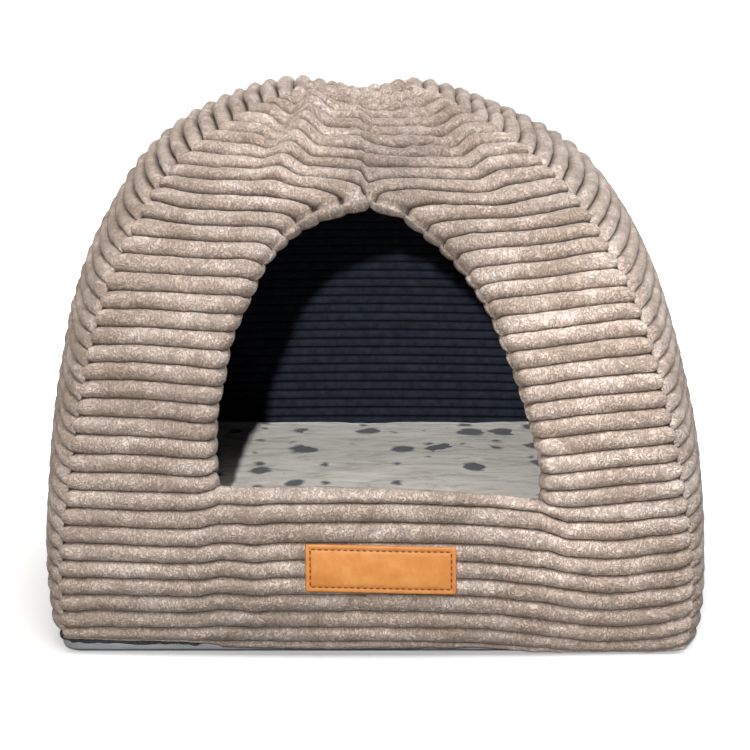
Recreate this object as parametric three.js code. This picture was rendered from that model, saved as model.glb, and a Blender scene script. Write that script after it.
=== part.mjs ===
// Pyramid cat bed: four padded cord panels sewn to a dome, with an arched door, lining, cushion and floor slab.
// Units are millimetres, +Z is up and the door faces -Y.
import * as THREE from 'three';
import { mergeVertices } from 'three/addons/utils/BufferGeometryUtils.js';

// Driving dimensions
const RIB_HEIGHT = 3.4;     // depth of a groove between two cord ribs
const PILLOW = 5.4;         // how far the padding stands out beside a seam
const PILLOW_WIDTH = 14;    // width of the rounding beside a seam
const JAMB = 9;             // radius of the rounded door edge
const SEAM = 0.25;          // each panel stops this far before the corner plane
const TIP = 1.4;            // half width at which a panel ends at the top
const LIP = 4;              // thickness of the hem that hangs beside the floor slab
const FLOOR_GAP = 0.8;      // the hem never touches the floor
const WALL_BOTTOM = 12.5;   // underside of the wall padding
const SIDE_RIBS = 41;       // cord ribs on the side and back panels
const SILL_RIB = 10;        // rib at the top of the sill
const APEX_RIB = 29;        // rib at the point of the door arch
const LAST_RIB = 45;        // rib at the tip of the front panel
const LINING = 1.6;         // thickness of the lining cloth
const LINING_GAP = 0.35;    // the lining hangs this far inside the padding
const LINING_RIBS = 56;     // fine ribs on a lining panel
const LINING_RELIEF = 1.1;  // height of the fine ribs
const SLAB = { half: 191, corner: 30, frontLeft: 14, top: 12 };
const CUSHION = { half: 163, corner: 26, bottom: 12.4, top: 77 };
const ZIP = { height: 4, thickness: 1.6, gap: 0.3, start: -124, end: 150 };
const PATCH = { width: 92, height: 28, thickness: 1.8, x: 3, along: 59, tilt: -0.02 };

// Corner seam from the hem to the tip: half width and height
const OUTER = [
  [190, 0], [193.5, 14], [195, 40], [194, 66], [191, 94], [186.5, 124], [181, 153], [174.5, 183],
  [167, 209], [158, 232], [146.5, 254], [134, 274], [118, 291], [101, 304.5], [82, 316], [62, 326],
  [43, 332.5], [27, 333.5], [12, 330], [0, 326]];
// The same corner on the inside of the padding
const INNER = [
  [170, 12.5], [172.5, 40], [171.5, 66], [168.5, 94], [164, 122], [159, 149], [152.5, 176], [145, 200],
  [136, 220], [125, 239.5], [112.5, 256], [97, 271], [79, 284.5], [59, 295.5], [38, 303], [18, 306.5],
  [0, 307]];
// How far the middle of a panel bulges past its seams, against the length up the panel
const BULGE = {
  along: [0, 20, 60, 120, 180, 240, 300, 350, 400, 440],
  side: [4, 10, 15, 19, 19, 16.5, 11, 7, 0, 0],
  front: [0, 8, 16, 18, 18, 16, 14, 8, 2, 0],
};
// The soft tent leans a little to its left towards the top
const LEAN = {
  height: [0, 100, 150, 200, 240, 280, 310, 340],
  shift: [0.5, -0.5, -1.8, -3.5, -6, -8.5, -11, -12],
};
// Length up the front panel at which rib number `rib` begins, in nine places from seam to seam
const LINES = {
  rib: [0, 1, 2, 5, 8, 10, 13, 16, 20, 24, 26, 27, 28, 29, 30, 31, 33, 35, 38, 41, 45],
  seamLeft: [13, 18, 25, 53, 84, 105, 138, 171, 215, 262, 286, 295, 303, 311, 323, 335, 356, 376, 400, 419, 438],
  midLeft: [7, 13, 21, 52, 83, 104, 136, 171, 214, 256, 279, 288, 295, 303, 313, 324, 348, 369, 396, 417, 438],
  nearLeft: [4, 13, 22, 54, 84, 105.5, 135, 167.5, 211, 248, 266, 275, 281, 290, 300, 309, 327, 346, 375, 405, 438],
  edgeLeft: [4, 13, 22, 54, 84.5, 107, 135, 167, 210, 246, 259.5, 264, 268.5, 273, 290, 303, 322, 340, 372, 404, 438],
  middle: [4, 13.5, 23, 55, 86.5, 106, 135, 162, 205, 241, 256, 263, 268.5, 273, 290, 303, 322, 340, 372, 404, 438],
  edgeRight: [2, 9, 18, 50, 81.5, 100, 127, 157, 201, 236, 252, 262, 268.5, 273, 290, 303, 322, 340, 372, 404, 438],
  nearRight: [1.5, 7, 15, 47.5, 78.5, 97, 126.5, 158, 201.5, 238, 254.5, 265, 272, 281, 291, 302, 321, 341, 373, 405, 438],
  midRight: [1, 4.5, 12, 43, 75, 96, 129, 162, 205, 247, 267, 275, 283, 292, 301, 311, 332, 353, 384, 411, 438],
  seamRight: [1, 5, 14, 45, 77, 99, 132, 166, 208, 252, 273, 283, 292, 302, 312, 322, 342, 361, 389, 414, 438],
};
const PLACES = { seamLeft: 0, midLeft: 0.5, nearLeft: 0.85, edgeLeft: 1, middle: 1.5, edgeRight: 2,
  nearRight: 2.15, midRight: 2.5, seamRight: 3 };
// Sideways place of the two door edges at each rib; above the arch both follow the middle line
const DOOR = {
  rib: [0, 10, 12, 14, 16, 18, 20, 22, 23, 24, 25, 26, 27, 28, 29, 31, 45],
  left: [-92, -93.3, -93, -91.5, -88, -81.8, -72, -61, -55, -50, -42, -31, -18, -7, 4, 5, 0],
  right: [98, 99.6, 98.6, 94.8, 90, 83.2, 74.2, 65, 57.7, 50, 42, 34, 22, 12, 4, 5, 0],
};
// The two creases that bound the slack cloth above the door
const CREASE = {
  along: [280, 293, 312, 337, 363, 400],
  left: [-52, -46, -39, -32, -24, -14],
  right: [84, 72, 59, 47, 38, 20],
};
// Hem height above the floor along each plain panel, from its own left end to its right end
const HEM = { left: [11, 13, 13], right: [1, 3, 4], back: [4, 7, 11] };

// Smooth curve through the rows of a table, without overshoot
function curve(xs, ys) {
  const n = xs.length;
  const d = xs.slice(1).map((x, i) => (ys[i + 1] - ys[i]) / (x - xs[i]));
  const m = xs.map((x, i) => {
    if (i === 0) return d[0];
    if (i === n - 1) return d[n - 2];
    return d[i - 1] * d[i] <= 0 ? 0 : 2 * d[i - 1] * d[i] / (d[i - 1] + d[i]);
  });
  return (x) => {
    const t = THREE.MathUtils.clamp(x, xs[0], xs[n - 1]);
    let i = 0;
    while (i < n - 2 && t > xs[i + 1]) i++;
    const h = xs[i + 1] - xs[i];
    const w = (t - xs[i]) / h;
    const rise = ys[i + 1] - ys[i];
    const bend = (h * m[i] - rise) * (1 - w) - (h * m[i + 1] - rise) * w;
    return ys[i] + rise * w + w * (1 - w) * bend;
  };
}
const ease = THREE.MathUtils.smoothstep;
const hump = (x, width) => Math.exp(-((x / width) ** 2));
const arc = (m) => Math.sqrt(1 - THREE.MathUtils.clamp(m, 0, 1) ** 2);
const steps = (from, to, count) => Array.from({ length: count + 1 }, (_, i) => from + (to - from) * i / count);

// Seam profile as a function of the length up it, with the direction that faces out
function profile(points) {
  const line = new THREE.SplineCurve(points.map(([a, z]) => new THREE.Vector2(a, z)));
  const fine = line.getPoints(600);
  const along = [0];
  fine.slice(1).forEach((p, i) => along.push(along[i] + p.distanceTo(fine[i])));
  const half = curve(along, fine.map((p) => p.x));
  const height = curve(along, fine.map((p) => p.y));
  const length = along[600];
  const at = (s) => {
    const run = half(s + 6) - half(s - 6);
    const rise = height(s + 6) - height(s - 6);
    const l = Math.hypot(run, rise);
    return { a: half(s), z: height(s), out: rise / l, up: -run / l };
  };
  const top = fine.findIndex((p, i) => i > 0 && p.y < fine[i - 1].y);
  const rising = top < 0 ? fine.length : top;
  const alongAt = curve(fine.slice(0, rising).map((p) => p.y), along.slice(0, rising));
  return { at, length, alongAt };
}
const outer = profile(OUTER);
const inner = profile(INNER);
const END = outer.length - TIP;
const INNER_END = inner.length - TIP;
const bulge = { side: curve(BULGE.along, BULGE.side), front: curve(BULGE.along, BULGE.front) };
const lean = curve(LEAN.height, LEAN.shift);
const door = { left: curve(DOOR.rib, DOOR.left), right: curve(DOOR.rib, DOOR.right) };
const crease = { left: curve(CREASE.along, CREASE.left), right: curve(CREASE.along, CREASE.right) };
const lineNames = Object.keys(PLACES);
const lines = lineNames.map((name) => curve(LINES.rib, LINES[name]));

// Where the groove of a rib runs: t is 0 at the left seam, 1 and 2 at the door edges, 3 at the right seam
function grooveAt(rib, t) {
  return Math.min(END, curve(lineNames.map((n) => PLACES[n]), lines.map((l) => l(rib)))(t));
}

// Slack cloth above the door: a trough between two creases, with a ridge and a valley on its left
function folds(x, s) {
  const l = crease.left(s);
  const r = crease.right(s);
  const trough = -8 * ease(s, 278, 302) * (1 - ease(s, 372, 405))
    * ease(x, l - 8, l + 9) * (1 - ease(x, r - 11, r + 11));
  const ridge = 3 * hump(x - l + 11, 8) * ease(s, 282, 310) * (1 - ease(s, 375, 400));
  const valley = -3 * hump(x - l + 29, 9) * ease(s, 286, 315) * (1 - ease(s, 365, 385));
  return trough + ridge + valley;
}

// A point on the cord side of a panel that faces -Y: crest is 0 in a groove and 1 on top of a rib, gap is
// the distance to the door edge
function outside(x, s, crest, gap, kind) {
  const p = outer.at(s);
  const u = THREE.MathUtils.clamp(x / (p.a - SEAM), -1, 1);
  const padding = arc((Math.abs(u) * p.a - p.a + PILLOW_WIDTH) / PILLOW_WIDTH)
    * arc((s - outer.length + 30) / 30);
  let lift = bulge[kind](s) * (1 - u * u) + padding * (PILLOW + RIB_HEIGHT * crest);
  if (kind === 'front') lift += folds(x, s) * ease(1 - Math.abs(u), 0, 0.12) - JAMB * (1 - arc(1 - gap / JAMB));
  return new THREE.Vector3(x, -(p.a + p.out * lift), Math.max(FLOOR_GAP, p.z + p.up * lift));
}

// A point of the front panel by rib number and place across it
function frontPoint(rib, t) {
  const s = grooveAt(rib, t);
  const half = outer.at(s).a - SEAM;
  const l = door.left(rib);
  const r = door.right(rib);
  let x = l + (r - l) * (t - 1);
  if (t < 1) x = -half + (l + half) * t;
  if (t > 2) x = half + (r - half) * (3 - t);
  const crest = Math.sin(Math.PI * rib) ** 2;
  let gap = Math.hypot(x - door.left(APEX_RIB), s - grooveAt(APEX_RIB, 1));
  if (rib <= SILL_RIB) gap = Math.hypot(Math.max(0, l - x, x - r), grooveAt(SILL_RIB, t) - s);
  else if (rib < APEX_RIB) gap = Math.max(0, l - x, x - r);
  const scallop = rib > SILL_RIB && rib < APEX_RIB && gap === 0 ? 1.8 * (1 - crest) : 0;
  return outside(x + (t < 1.5 ? -scallop : scallop), s, crest, gap, 'front');
}

// A point on a layer of the inside: depth is measured from the inside face of the padding
function inside(x, s, depth, kind) {
  const p = inner.at(s);
  const a = p.a - p.out * depth;
  const u = THREE.MathUtils.clamp(x / (a - SEAM), -1, 1);
  const lift = 0.5 * bulge[kind](s * outer.length / inner.length) * (1 - u * u);
  return new THREE.Vector3(x, -(a + p.out * lift), p.z - p.up * depth + p.up * lift);
}
function insideHalf(s, depth) {
  const p = inner.at(s);
  return p.a - p.out * depth - SEAM;
}

// Triangles gathered into one closed body
class Body {
  constructor() {
    this.points = [];
  }
  triangle(a, b, c) {
    const same = (p, q) => p.distanceTo(q) < 2e-3;
    if (!same(a, b) && !same(b, c) && !same(c, a)) this.points.push(a, b, c);
  }
  // Grid whose rows climb and whose columns run to the right; seen from the front it faces the viewer
  grid(rows, flip = false) {
    for (let i = 0; i + 1 < rows.length; i++) {
      for (let j = 0; j + 1 < rows[i].length; j++) {
        const [a, b, c, d] = [rows[i][j], rows[i][j + 1], rows[i + 1][j], rows[i + 1][j + 1]];
        if (flip) {
          this.triangle(a, c, b);
          this.triangle(b, c, d);
        } else {
          this.triangle(a, b, c);
          this.triangle(b, d, c);
        }
      }
    }
  }
  // Band between two edges that run the same way, however many points each has
  strip(first, second) {
    let i = 0;
    let j = 0;
    while (i + 1 < first.length || j + 1 < second.length) {
      const next = (i + 1) / (first.length - 1) <= (j + 1) / (second.length - 1);
      if (j + 1 >= second.length || (i + 1 < first.length && next)) {
        this.triangle(first[i], first[i + 1], second[j]);
        i += 1;
      } else {
        this.triangle(first[i], second[j + 1], second[j]);
        j += 1;
      }
    }
  }
  // Stack of closed rings, capped by its first and last points
  rings(rings, bottom, top) {
    const closed = rings.map((ring) => [...ring, ring[0]]);
    this.grid(closed);
    for (let j = 0; j + 1 < closed[0].length; j++) {
      this.triangle(bottom, closed[0][j + 1], closed[0][j]);
      this.triangle(top, closed[closed.length - 1][j], closed[closed.length - 1][j + 1]);
    }
  }
  mesh(name, material, turn = 0) {
    const rotation = new THREE.Matrix4().makeRotationZ(turn);
    const places = this.points.flatMap((p) => {
      const q = p.clone().applyMatrix4(rotation);
      return [q.x + lean(q.z), q.y, q.z];
    });
    let geometry = new THREE.BufferGeometry();
    geometry.setAttribute('position', new THREE.Float32BufferAttribute(places, 3));
    geometry = mergeVertices(geometry, 1e-3);
    geometry.computeVertexNormals();
    const mesh = new THREE.Mesh(geometry, material);
    mesh.name = name;
    return mesh;
  }
}
const left = (rows) => rows.map((row) => row[0]);
const right = (rows) => rows.map((row) => row[row.length - 1]);
const last = (rows) => rows[rows.length - 1];

// Seam faces, hem and tip of a padded panel, between its cord side and its inside
function closePanel(body, low, cordLeft, cordRight, cordTop, padLeft, padRight, padTop, padLow) {
  const hem = low.map((p) => new THREE.Vector3(p.x * (1 - LIP / 190), p.y + LIP, p.z));
  const rise = hem.map((p) => new THREE.Vector3(p.x, p.y, Math.max(p.z, WALL_BOTTOM)));
  body.strip(cordLeft, [hem[0], rise[0], ...padLeft]);
  body.strip([last(hem), last(rise), ...padRight], cordRight);
  body.strip(cordTop, padTop);
  body.strip(hem, low);
  body.strip(rise, hem);
  body.strip(padLow, rise);
}

const LEG = [0, 0.03, 0.09, 0.25, 0.6, 0.88, 0.96, 1];
const LEG_RIGHT = LEG.map((t) => 3 - t).reverse();
const ACROSS = steps(1, 2, 8);
const PAD_LEG = [0, 0.34, 0.67, 1];
const PAD_RIGHT = PAD_LEG.map((t) => 3 - t).reverse();
const PAD_ACROSS = steps(1, 2, 3);

// Inside of the front panel: level 0 to 1 is the sill, 1 to 2 the legs beside the door, 2 to 3 the crown
function frontInside(level, t, depth) {
  const rib = SILL_RIB + (APEX_RIB - SILL_RIB) * THREE.MathUtils.clamp(level - 1, 0, 1);
  const side = THREE.MathUtils.clamp(t, 1, 2);
  const edge = frontPoint(rib, level < 1 ? side : Math.round(side));
  let s = inner.alongAt(edge.z);
  if (level < 1) s *= level;
  if (level > 2) s += (INNER_END - s) * (level - 2);
  const half = insideHalf(s, depth);
  let x = level > 2 ? edge.x * (3 - level) : edge.x;
  if (t < 1) x = -half + (x + half) * t;
  if (t > 2) x = half + (x - half) * (3 - t);
  return inside(x, s, depth, 'front');
}
function frontInsideRows(levels, ts, depth) {
  return levels.map((level) => ts.map((t) => frontInside(level, t, depth)));
}
const SILL_LEVELS = steps(0, 1, 3);
const LEG_LEVELS = steps(1, 2, 10);
const CROWN_LEVELS = steps(2, 3, 5);
const joinRows = (a, b) => a.map((row, i) => [...row, ...b[i].slice(1)]);

function frontPanel(material) {
  const body = new Body();
  const rows = (ribs, ts) => ribs.map((rib) => ts.map((t) => frontPoint(rib, t)));
  const sillRibs = [...steps(0, SILL_RIB - 0.5, 19), SILL_RIB - 0.15, SILL_RIB];
  const sill = rows(sillRibs, [...LEG, ...ACROSS.slice(1, -1), ...LEG_RIGHT]);
  const legRibs = steps(SILL_RIB, APEX_RIB, 38);
  const legs = [rows(legRibs, LEG), rows(legRibs, LEG_RIGHT)];
  const crownRibs = steps(APEX_RIB, LAST_RIB, 32);
  const crown = joinRows(rows(crownRibs, LEG), rows(crownRibs, LEG_RIGHT));
  [sill, ...legs, crown].forEach((patch) => body.grid(patch));
  const padSill = frontInsideRows(SILL_LEVELS, [...PAD_LEG, ...PAD_ACROSS.slice(1, -1), ...PAD_RIGHT], 0);
  const padLegs = [frontInsideRows(LEG_LEVELS, PAD_LEG, 0), frontInsideRows(LEG_LEVELS, PAD_RIGHT, 0)];
  const padCrown = joinRows(frontInsideRows(CROWN_LEVELS, PAD_LEG, 0), frontInsideRows(CROWN_LEVELS, PAD_RIGHT, 0));
  [padSill, ...padLegs, padCrown].forEach((patch) => body.grid(patch, true));
  body.strip(right(padLegs[0]), right(legs[0]));
  body.strip(left(legs[1]), left(padLegs[1]));
  const n = LEG.length - 1;
  const m = PAD_LEG.length - 1;
  body.strip(last(sill).slice(n, n + ACROSS.length), last(padSill).slice(m, m + PAD_ACROSS.length));
  const chain = (...parts) => parts.flatMap((part, i) => (i ? part.slice(1) : part));
  closePanel(body, sill[0],
    chain(left(sill), left(legs[0]), left(crown)), chain(right(sill), right(legs[1]), right(crown)), last(crown),
    chain(left(padSill), left(padLegs[0]), left(padCrown)),
    chain(right(padSill), right(padLegs[1]), right(padCrown)), last(padCrown), padSill[0]);
  return body.mesh('front_panel', material);
}

// Gentle unevenness of the ribs on the plain panels, from the way the cord was pulled over the padding
const WAVES = { left: [1.6, 2.1, 0.4], right: [1.4, 1.7, 2.2], back: [1.8, 1.3, 4.0] };

function plainPanel(name, side, material, turn) {
  const body = new Body();
  const us = [-1, -0.97, -0.9, -0.6, -0.2, 0.2, 0.6, 0.9, 0.97, 1];
  const hem = curve([-1, 0, 1], HEM[side]);
  const [size, turns, phase] = WAVES[side];
  const rows = steps(0, SIDE_RIBS, 2 * SIDE_RIBS).map((rib) => us.map((u) => {
    const free = ease(rib, 0, 5) * (1 - ease(rib, SIDE_RIBS - 8, SIDE_RIBS));
    const wave = size * Math.sin(turns * 3 * u + rib * 0.23 + phase) * (1 - u * u) * free;
    const s = hem(u) + (END - hem(u)) * rib / SIDE_RIBS + wave;
    return outside(u * (outer.at(s).a - SEAM), s, Math.sin(Math.PI * rib) ** 2, 99, 'side');
  }));
  const pad = steps(0, INNER_END, 16).map((s) => steps(-1, 1, 4).map((u) => inside(u * insideHalf(s, 0), s, 0, 'side')));
  body.grid(rows);
  body.grid(pad, true);
  closePanel(body, rows[0], left(rows), right(rows), last(rows), left(pad), right(pad), last(pad), pad[0]);
  return body.mesh(name, material, turn);
}

// Lining sheet: its back follows the padding, its face carries the fine ribs
function closeSheet(body, face, back) {
  body.strip(left(back), left(face));
  body.strip(right(face), right(back));
  body.strip(last(back), last(face));
  body.strip(face[0], back[0]);
}
function plainLining(name, material, turn) {
  const body = new Body();
  const back = steps(0, INNER_END, 16).map((s) => steps(-1, 1, 4)
    .map((u) => inside(u * insideHalf(s, LINING_GAP), s, LINING_GAP, 'side')));
  const face = steps(0, INNER_END, 2 * LINING_RIBS).map((s, i) => {
    const depth = LINING_GAP + LINING + (i % 2) * LINING_RELIEF;
    return steps(-1, 1, 4).map((u) => inside(u * insideHalf(s, depth), s, depth, 'side'));
  });
  body.grid(back);
  body.grid(face, true);
  closeSheet(body, face, back);
  return body.mesh(name, material, turn);
}

function frontLining(material) {
  const body = new Body();
  const layer = (depth) => {
    const sill = frontInsideRows(SILL_LEVELS, [...PAD_LEG, ...PAD_ACROSS.slice(1, -1), ...PAD_RIGHT], depth);
    const legs = [frontInsideRows(LEG_LEVELS, PAD_LEG, depth), frontInsideRows(LEG_LEVELS, PAD_RIGHT, depth)];
    const crown = joinRows(frontInsideRows(CROWN_LEVELS, PAD_LEG, depth),
      frontInsideRows(CROWN_LEVELS, PAD_RIGHT, depth));
    return { sill, legs, crown };
  };
  const back = layer(LINING_GAP);
  const face = layer(LINING_GAP + LINING + LINING_RELIEF / 2);
  [back.sill, ...back.legs, back.crown].forEach((patch) => body.grid(patch));
  [face.sill, ...face.legs, face.crown].forEach((patch) => body.grid(patch, true));
  const m = PAD_LEG.length - 1;
  const sillEdge = (rows) => last(rows).slice(m, m + PAD_ACROSS.length);
  body.strip(right(face.legs[0]), right(back.legs[0]));
  body.strip(left(back.legs[1]), left(face.legs[1]));
  body.strip(sillEdge(back.sill), sillEdge(face.sill));
  [[back.sill, face.sill], [back.legs[0], face.legs[0]], [back.crown, face.crown]]
    .forEach(([b, f]) => body.strip(left(b), left(f)));
  [[back.sill, face.sill], [back.legs[1], face.legs[1]], [back.crown, face.crown]]
    .forEach(([b, f]) => body.strip(right(f), right(b)));
  body.strip(last(back.crown), last(face.crown));
  body.strip(face.sill[0], back.sill[0]);
  return body.mesh('lining_front', material);
}

// Rounded square outline, anticlockwise from the front left, `inset` inside its full size
function outline({ half, corner, frontLeft = corner }, inset, arcSteps, sideSteps) {
  const h = half - inset;
  const corners = [[-1, -1, frontLeft], [1, -1, corner], [1, 1, corner], [-1, 1, corner]];
  const points = corners.flatMap(([sx, sy, radius], k) => {
    const r = Math.max(radius - inset, 2);
    return steps(0, 1, arcSteps).map((w) => {
      const angle = Math.PI + (k + w) * Math.PI / 2;
      return [sx * (h - r) + r * Math.cos(angle), sy * (h - r) + r * Math.sin(angle)];
    });
  });
  const n = arcSteps + 1;
  return points.flatMap((p, i) => {
    if (i % n !== n - 1) return [p];
    const q = points[(i + 1) % points.length];
    return steps(0, 1, sideSteps).slice(0, -1).map((w) => [p[0] + (q[0] - p[0]) * w, p[1] + (q[1] - p[1]) * w]);
  });
}

function slab(material) {
  const body = new Body();
  const rows = [[3, 0], [0.9, 0.9], [0, 3], [0, SLAB.top - 1.5], [1.5, SLAB.top]];
  const rings = rows.map(([inset, z]) => outline(SLAB, inset, 5, 2).map(([x, y]) => new THREE.Vector3(x, y, z)));
  body.rings(rings, new THREE.Vector3(0, 0, 0), new THREE.Vector3(0, 0, SLAB.top));
  return body.mesh('base_pad', material);
}

function cushion(material) {
  const body = new Body();
  const { bottom, top } = CUSHION;
  const rows = [[14, bottom], [3, bottom + 7], [0, bottom + 22], [0, top - 22], [3, top - 9], [9, top - 3],
    [24, top], [70, top + 2.5], [120, top + 4]];
  const rings = rows.map(([inset, z]) => outline(CUSHION, inset, 4, 4).map(([x, y]) => new THREE.Vector3(x, y, z)));
  body.rings(rings, new THREE.Vector3(0, 0, bottom), new THREE.Vector3(0, 0, top + 4.5));
  return body.mesh('cushion', material);
}

// Zip tape round the front left corner of the slab and along its left side, tucked under the hem
function zipStrip(material) {
  const body = new Body();
  const path = (gap) => {
    const big = { ...SLAB, half: SLAB.half + gap, frontLeft: SLAB.frontLeft + gap };
    const corner = outline(big, 0, 6, 1).slice(0, 7).reverse();
    const front = [ZIP.start, -145, -165].map((x) => [x, -big.half]);
    const side = [-90, 0, 90, ZIP.end].map((y) => [-big.half, y]);
    return [...front, ...corner, ...side];
  };
  const near = path(ZIP.gap);
  const far = path(ZIP.gap + ZIP.thickness);
  const span = near.length - 1;
  const tops = near.map(([x, y]) => {
    const hem = y < 0 && x > -SLAB.half + 1 ? frontPoint(0, (x + 190) / 98).z : 12.4;
    return Math.min(SLAB.top + 0.4, hem - 0.6);
  });
  const sections = near.map((p, i) => {
    const height = ZIP.height * Math.min(1, 0.35 + i * 0.3, 0.35 + (span - i) * 0.5);
    const point = ([x, y], z) => new THREE.Vector3(x, y, z);
    return [point(p, tops[i]), point(far[i], tops[i]), point(far[i], tops[i] - height), point(p, tops[i] - height)];
  });
  body.grid(sections.map((section) => [...section, section[0]]), true);
  const end = (s, flip) => body.grid([[s[0], s[1]], [s[3], s[2]]], flip);
  end(sections[0], false);
  end(sections[span], true);
  return body.mesh('zip_strip', material);
}

// Leather patch lying on the crests of the sill ribs
function patch(material) {
  const body = new Body();
  const layer = (rise) => steps(-0.5, 0.5, 3).map((v) => steps(-0.5, 0.5, 10).map((h) => {
    const x = PATCH.x + h * PATCH.width;
    const s = PATCH.along + v * PATCH.height + h * PATCH.width * PATCH.tilt;
    const p = outside(x, s, 1, 99, 'front');
    const way = outer.at(s);
    return new THREE.Vector3(p.x, p.y - way.out * rise, p.z + way.up * rise);
  }));
  const back = layer(0.3);
  const face = layer(0.3 + PATCH.thickness);
  body.grid(face);
  body.grid(back, true);
  body.strip(left(face), left(back));
  body.strip(right(back), right(face));
  body.strip(last(face), last(back));
  body.strip(back[0], face[0]);
  return body.mesh('patch', material);
}

const cloth = (color, roughness = 0.95) => new THREE.MeshStandardMaterial({ color, roughness, metalness: 0 });
const cord = cloth(0xb5a396);
const navy = cloth(0x2e3442);
const group = new THREE.Group();
group.add(
  frontPanel(cord),
  plainPanel('right_panel', 'right', cord, Math.PI / 2),
  plainPanel('back_panel', 'back', cord, Math.PI),
  plainPanel('left_panel', 'left', cord, -Math.PI / 2),
  frontLining(navy),
  plainLining('lining_right', navy, Math.PI / 2),
  plainLining('lining_back', navy, Math.PI),
  plainLining('lining_left', navy, -Math.PI / 2),
  slab(cloth(0x7f8587, 0.7)),
  zipStrip(cloth(0x1a1c20, 0.8)),
  cushion(cloth(0xb4b2ac)),
  patch(cloth(0xe0954a, 0.6)),
);
export default group;
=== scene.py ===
# %% [markdown]
# Pyramid cat bed
# A soft tent of wide-rib plush over padding: four panels sewn along the corners, an arched door, a fine-rib
# lining, a thick loose cushion and a flat floor slab. Every piece is a surface worked out with numpy from
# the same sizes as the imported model. Lengths in the formulas are in millimetres, and meshes are in metres.

import bmesh
import bpy
import numpy as np
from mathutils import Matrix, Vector


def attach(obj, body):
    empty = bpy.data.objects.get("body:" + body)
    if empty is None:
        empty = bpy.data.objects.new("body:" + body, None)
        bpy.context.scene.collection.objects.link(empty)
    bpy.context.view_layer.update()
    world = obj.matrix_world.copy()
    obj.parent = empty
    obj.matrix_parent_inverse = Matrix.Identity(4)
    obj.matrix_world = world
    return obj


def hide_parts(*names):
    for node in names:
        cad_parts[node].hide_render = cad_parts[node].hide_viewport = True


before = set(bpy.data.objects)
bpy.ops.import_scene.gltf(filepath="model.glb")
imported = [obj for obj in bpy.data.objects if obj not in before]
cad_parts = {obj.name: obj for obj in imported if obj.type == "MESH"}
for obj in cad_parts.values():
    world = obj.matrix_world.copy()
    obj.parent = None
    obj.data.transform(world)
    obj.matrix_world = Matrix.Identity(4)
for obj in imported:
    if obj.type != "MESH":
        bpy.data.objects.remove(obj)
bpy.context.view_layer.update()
MM = 0.001
scene = bpy.context.scene
print("nodes:", ", ".join(sorted(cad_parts)))

# %% [markdown]
# Camera
# The photograph looks at the middle of the door from a little above, with a long lens, so the bed hardly
# narrows towards the back. The lens is worked out from the size of the bed in the picture. The small shift
# puts the bed a touch above the middle of the frame, as the photographer did.

# %% Camera at the photograph's viewing angle
PHOTO_WIDTH = 750.0
FOCAL_PIXELS = 2542.0
AIM = Vector((0.0, 0.0, 0.16005))
AIM_PIXEL = (376.0, 344.9)
DISTANCE = 1.746
ELEVATION = np.radians(10.0)

lens = bpy.data.cameras.new("camera")
lens.sensor_width = 36.0
lens.lens = lens.sensor_width * FOCAL_PIXELS / PHOTO_WIDTH
lens.shift_x = (PHOTO_WIDTH / 2 - AIM_PIXEL[0]) / PHOTO_WIDTH
lens.shift_y = (AIM_PIXEL[1] - PHOTO_WIDTH / 2) / PHOTO_WIDTH
camera = bpy.data.objects.new("camera", lens)
camera.location = AIM + DISTANCE * Vector((0.0, -np.cos(ELEVATION), np.sin(ELEVATION)))
camera.rotation_euler = (np.pi / 2 - ELEVATION, 0.0, 0.0)
scene.collection.objects.link(camera)
scene.camera = camera
print(f"lens {lens.lens:.1f} mm at {DISTANCE} m, shift {lens.shift_x:.4f}, {lens.shift_y:.4f}")

# %% [markdown]
# Curves through tables
# A sewn shape is easiest to give as a short table of places along a seam. A monotone cubic goes through the
# rows of a table without overshoot, so a seam never bulges where the table is straight. Every table of the
# bed is read with this one function, for whole arrays of points at once.

# %% Smooth curve through the rows of a table
def through(xs, ys, x):
    """Monotone cubic: chord value plus w(1-w) times what the two end slopes bend away from the chord. The
    slope at a row is the harmonic mean of the chords beside it, or nought where they turn."""
    xs = np.asarray(xs, float)
    ys = np.asarray(ys, float)
    x = np.clip(x, xs[0], xs[-1])
    i = np.clip(np.searchsorted(xs, x) - 1, 0, len(xs) - 2)
    steps = np.diff(xs).reshape((-1,) + (1,) * (ys.ndim - 1))
    chord = np.diff(ys, axis=0) / steps
    product = chord[1:] * chord[:-1]
    total = np.where(product > 0, chord[1:] + chord[:-1], 1.0)
    slope = np.concatenate([chord[:1], np.where(product > 0, 2 * product / total, 0.0), chord[-1:]])

    def pick(rows, k):
        return rows[k] if rows.ndim == 1 else np.take_along_axis(rows, k[None], 0)[0]

    h = xs[i + 1] - xs[i]
    w = (x - xs[i]) / h
    rise = pick(ys, i + 1) - pick(ys, i)
    bend = (h * pick(slope, i) - rise) * (1 - w) - (h * pick(slope, i + 1) - rise) * w
    return pick(ys, i) + rise * w + w * (1 - w) * bend


def ease(x, low, high):
    """S-shaped step from 0 at low to 1 at high: 3w squared minus 2w cubed."""
    w = np.clip((x - low) / (high - low), 0, 1)
    return w * w * (3 - 2 * w)


def hump(x, width):
    """Bell of height 1 that falls off over width."""
    return np.exp(-((x / width) ** 2))


def arc(m):
    """Quarter circle: 1 at m = 0 and 0 at m = 1."""
    return np.sqrt(1 - np.clip(m, 0, 1) ** 2)


# %% [markdown]
# Seam profile
# All four corner seams follow one curve from the hem up over the shoulder to the tip. It is given by half
# widths and heights, as a pattern cutter would note them. Everything on a panel is then placed by the
# length up this seam, because cloth is measured along itself.

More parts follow.
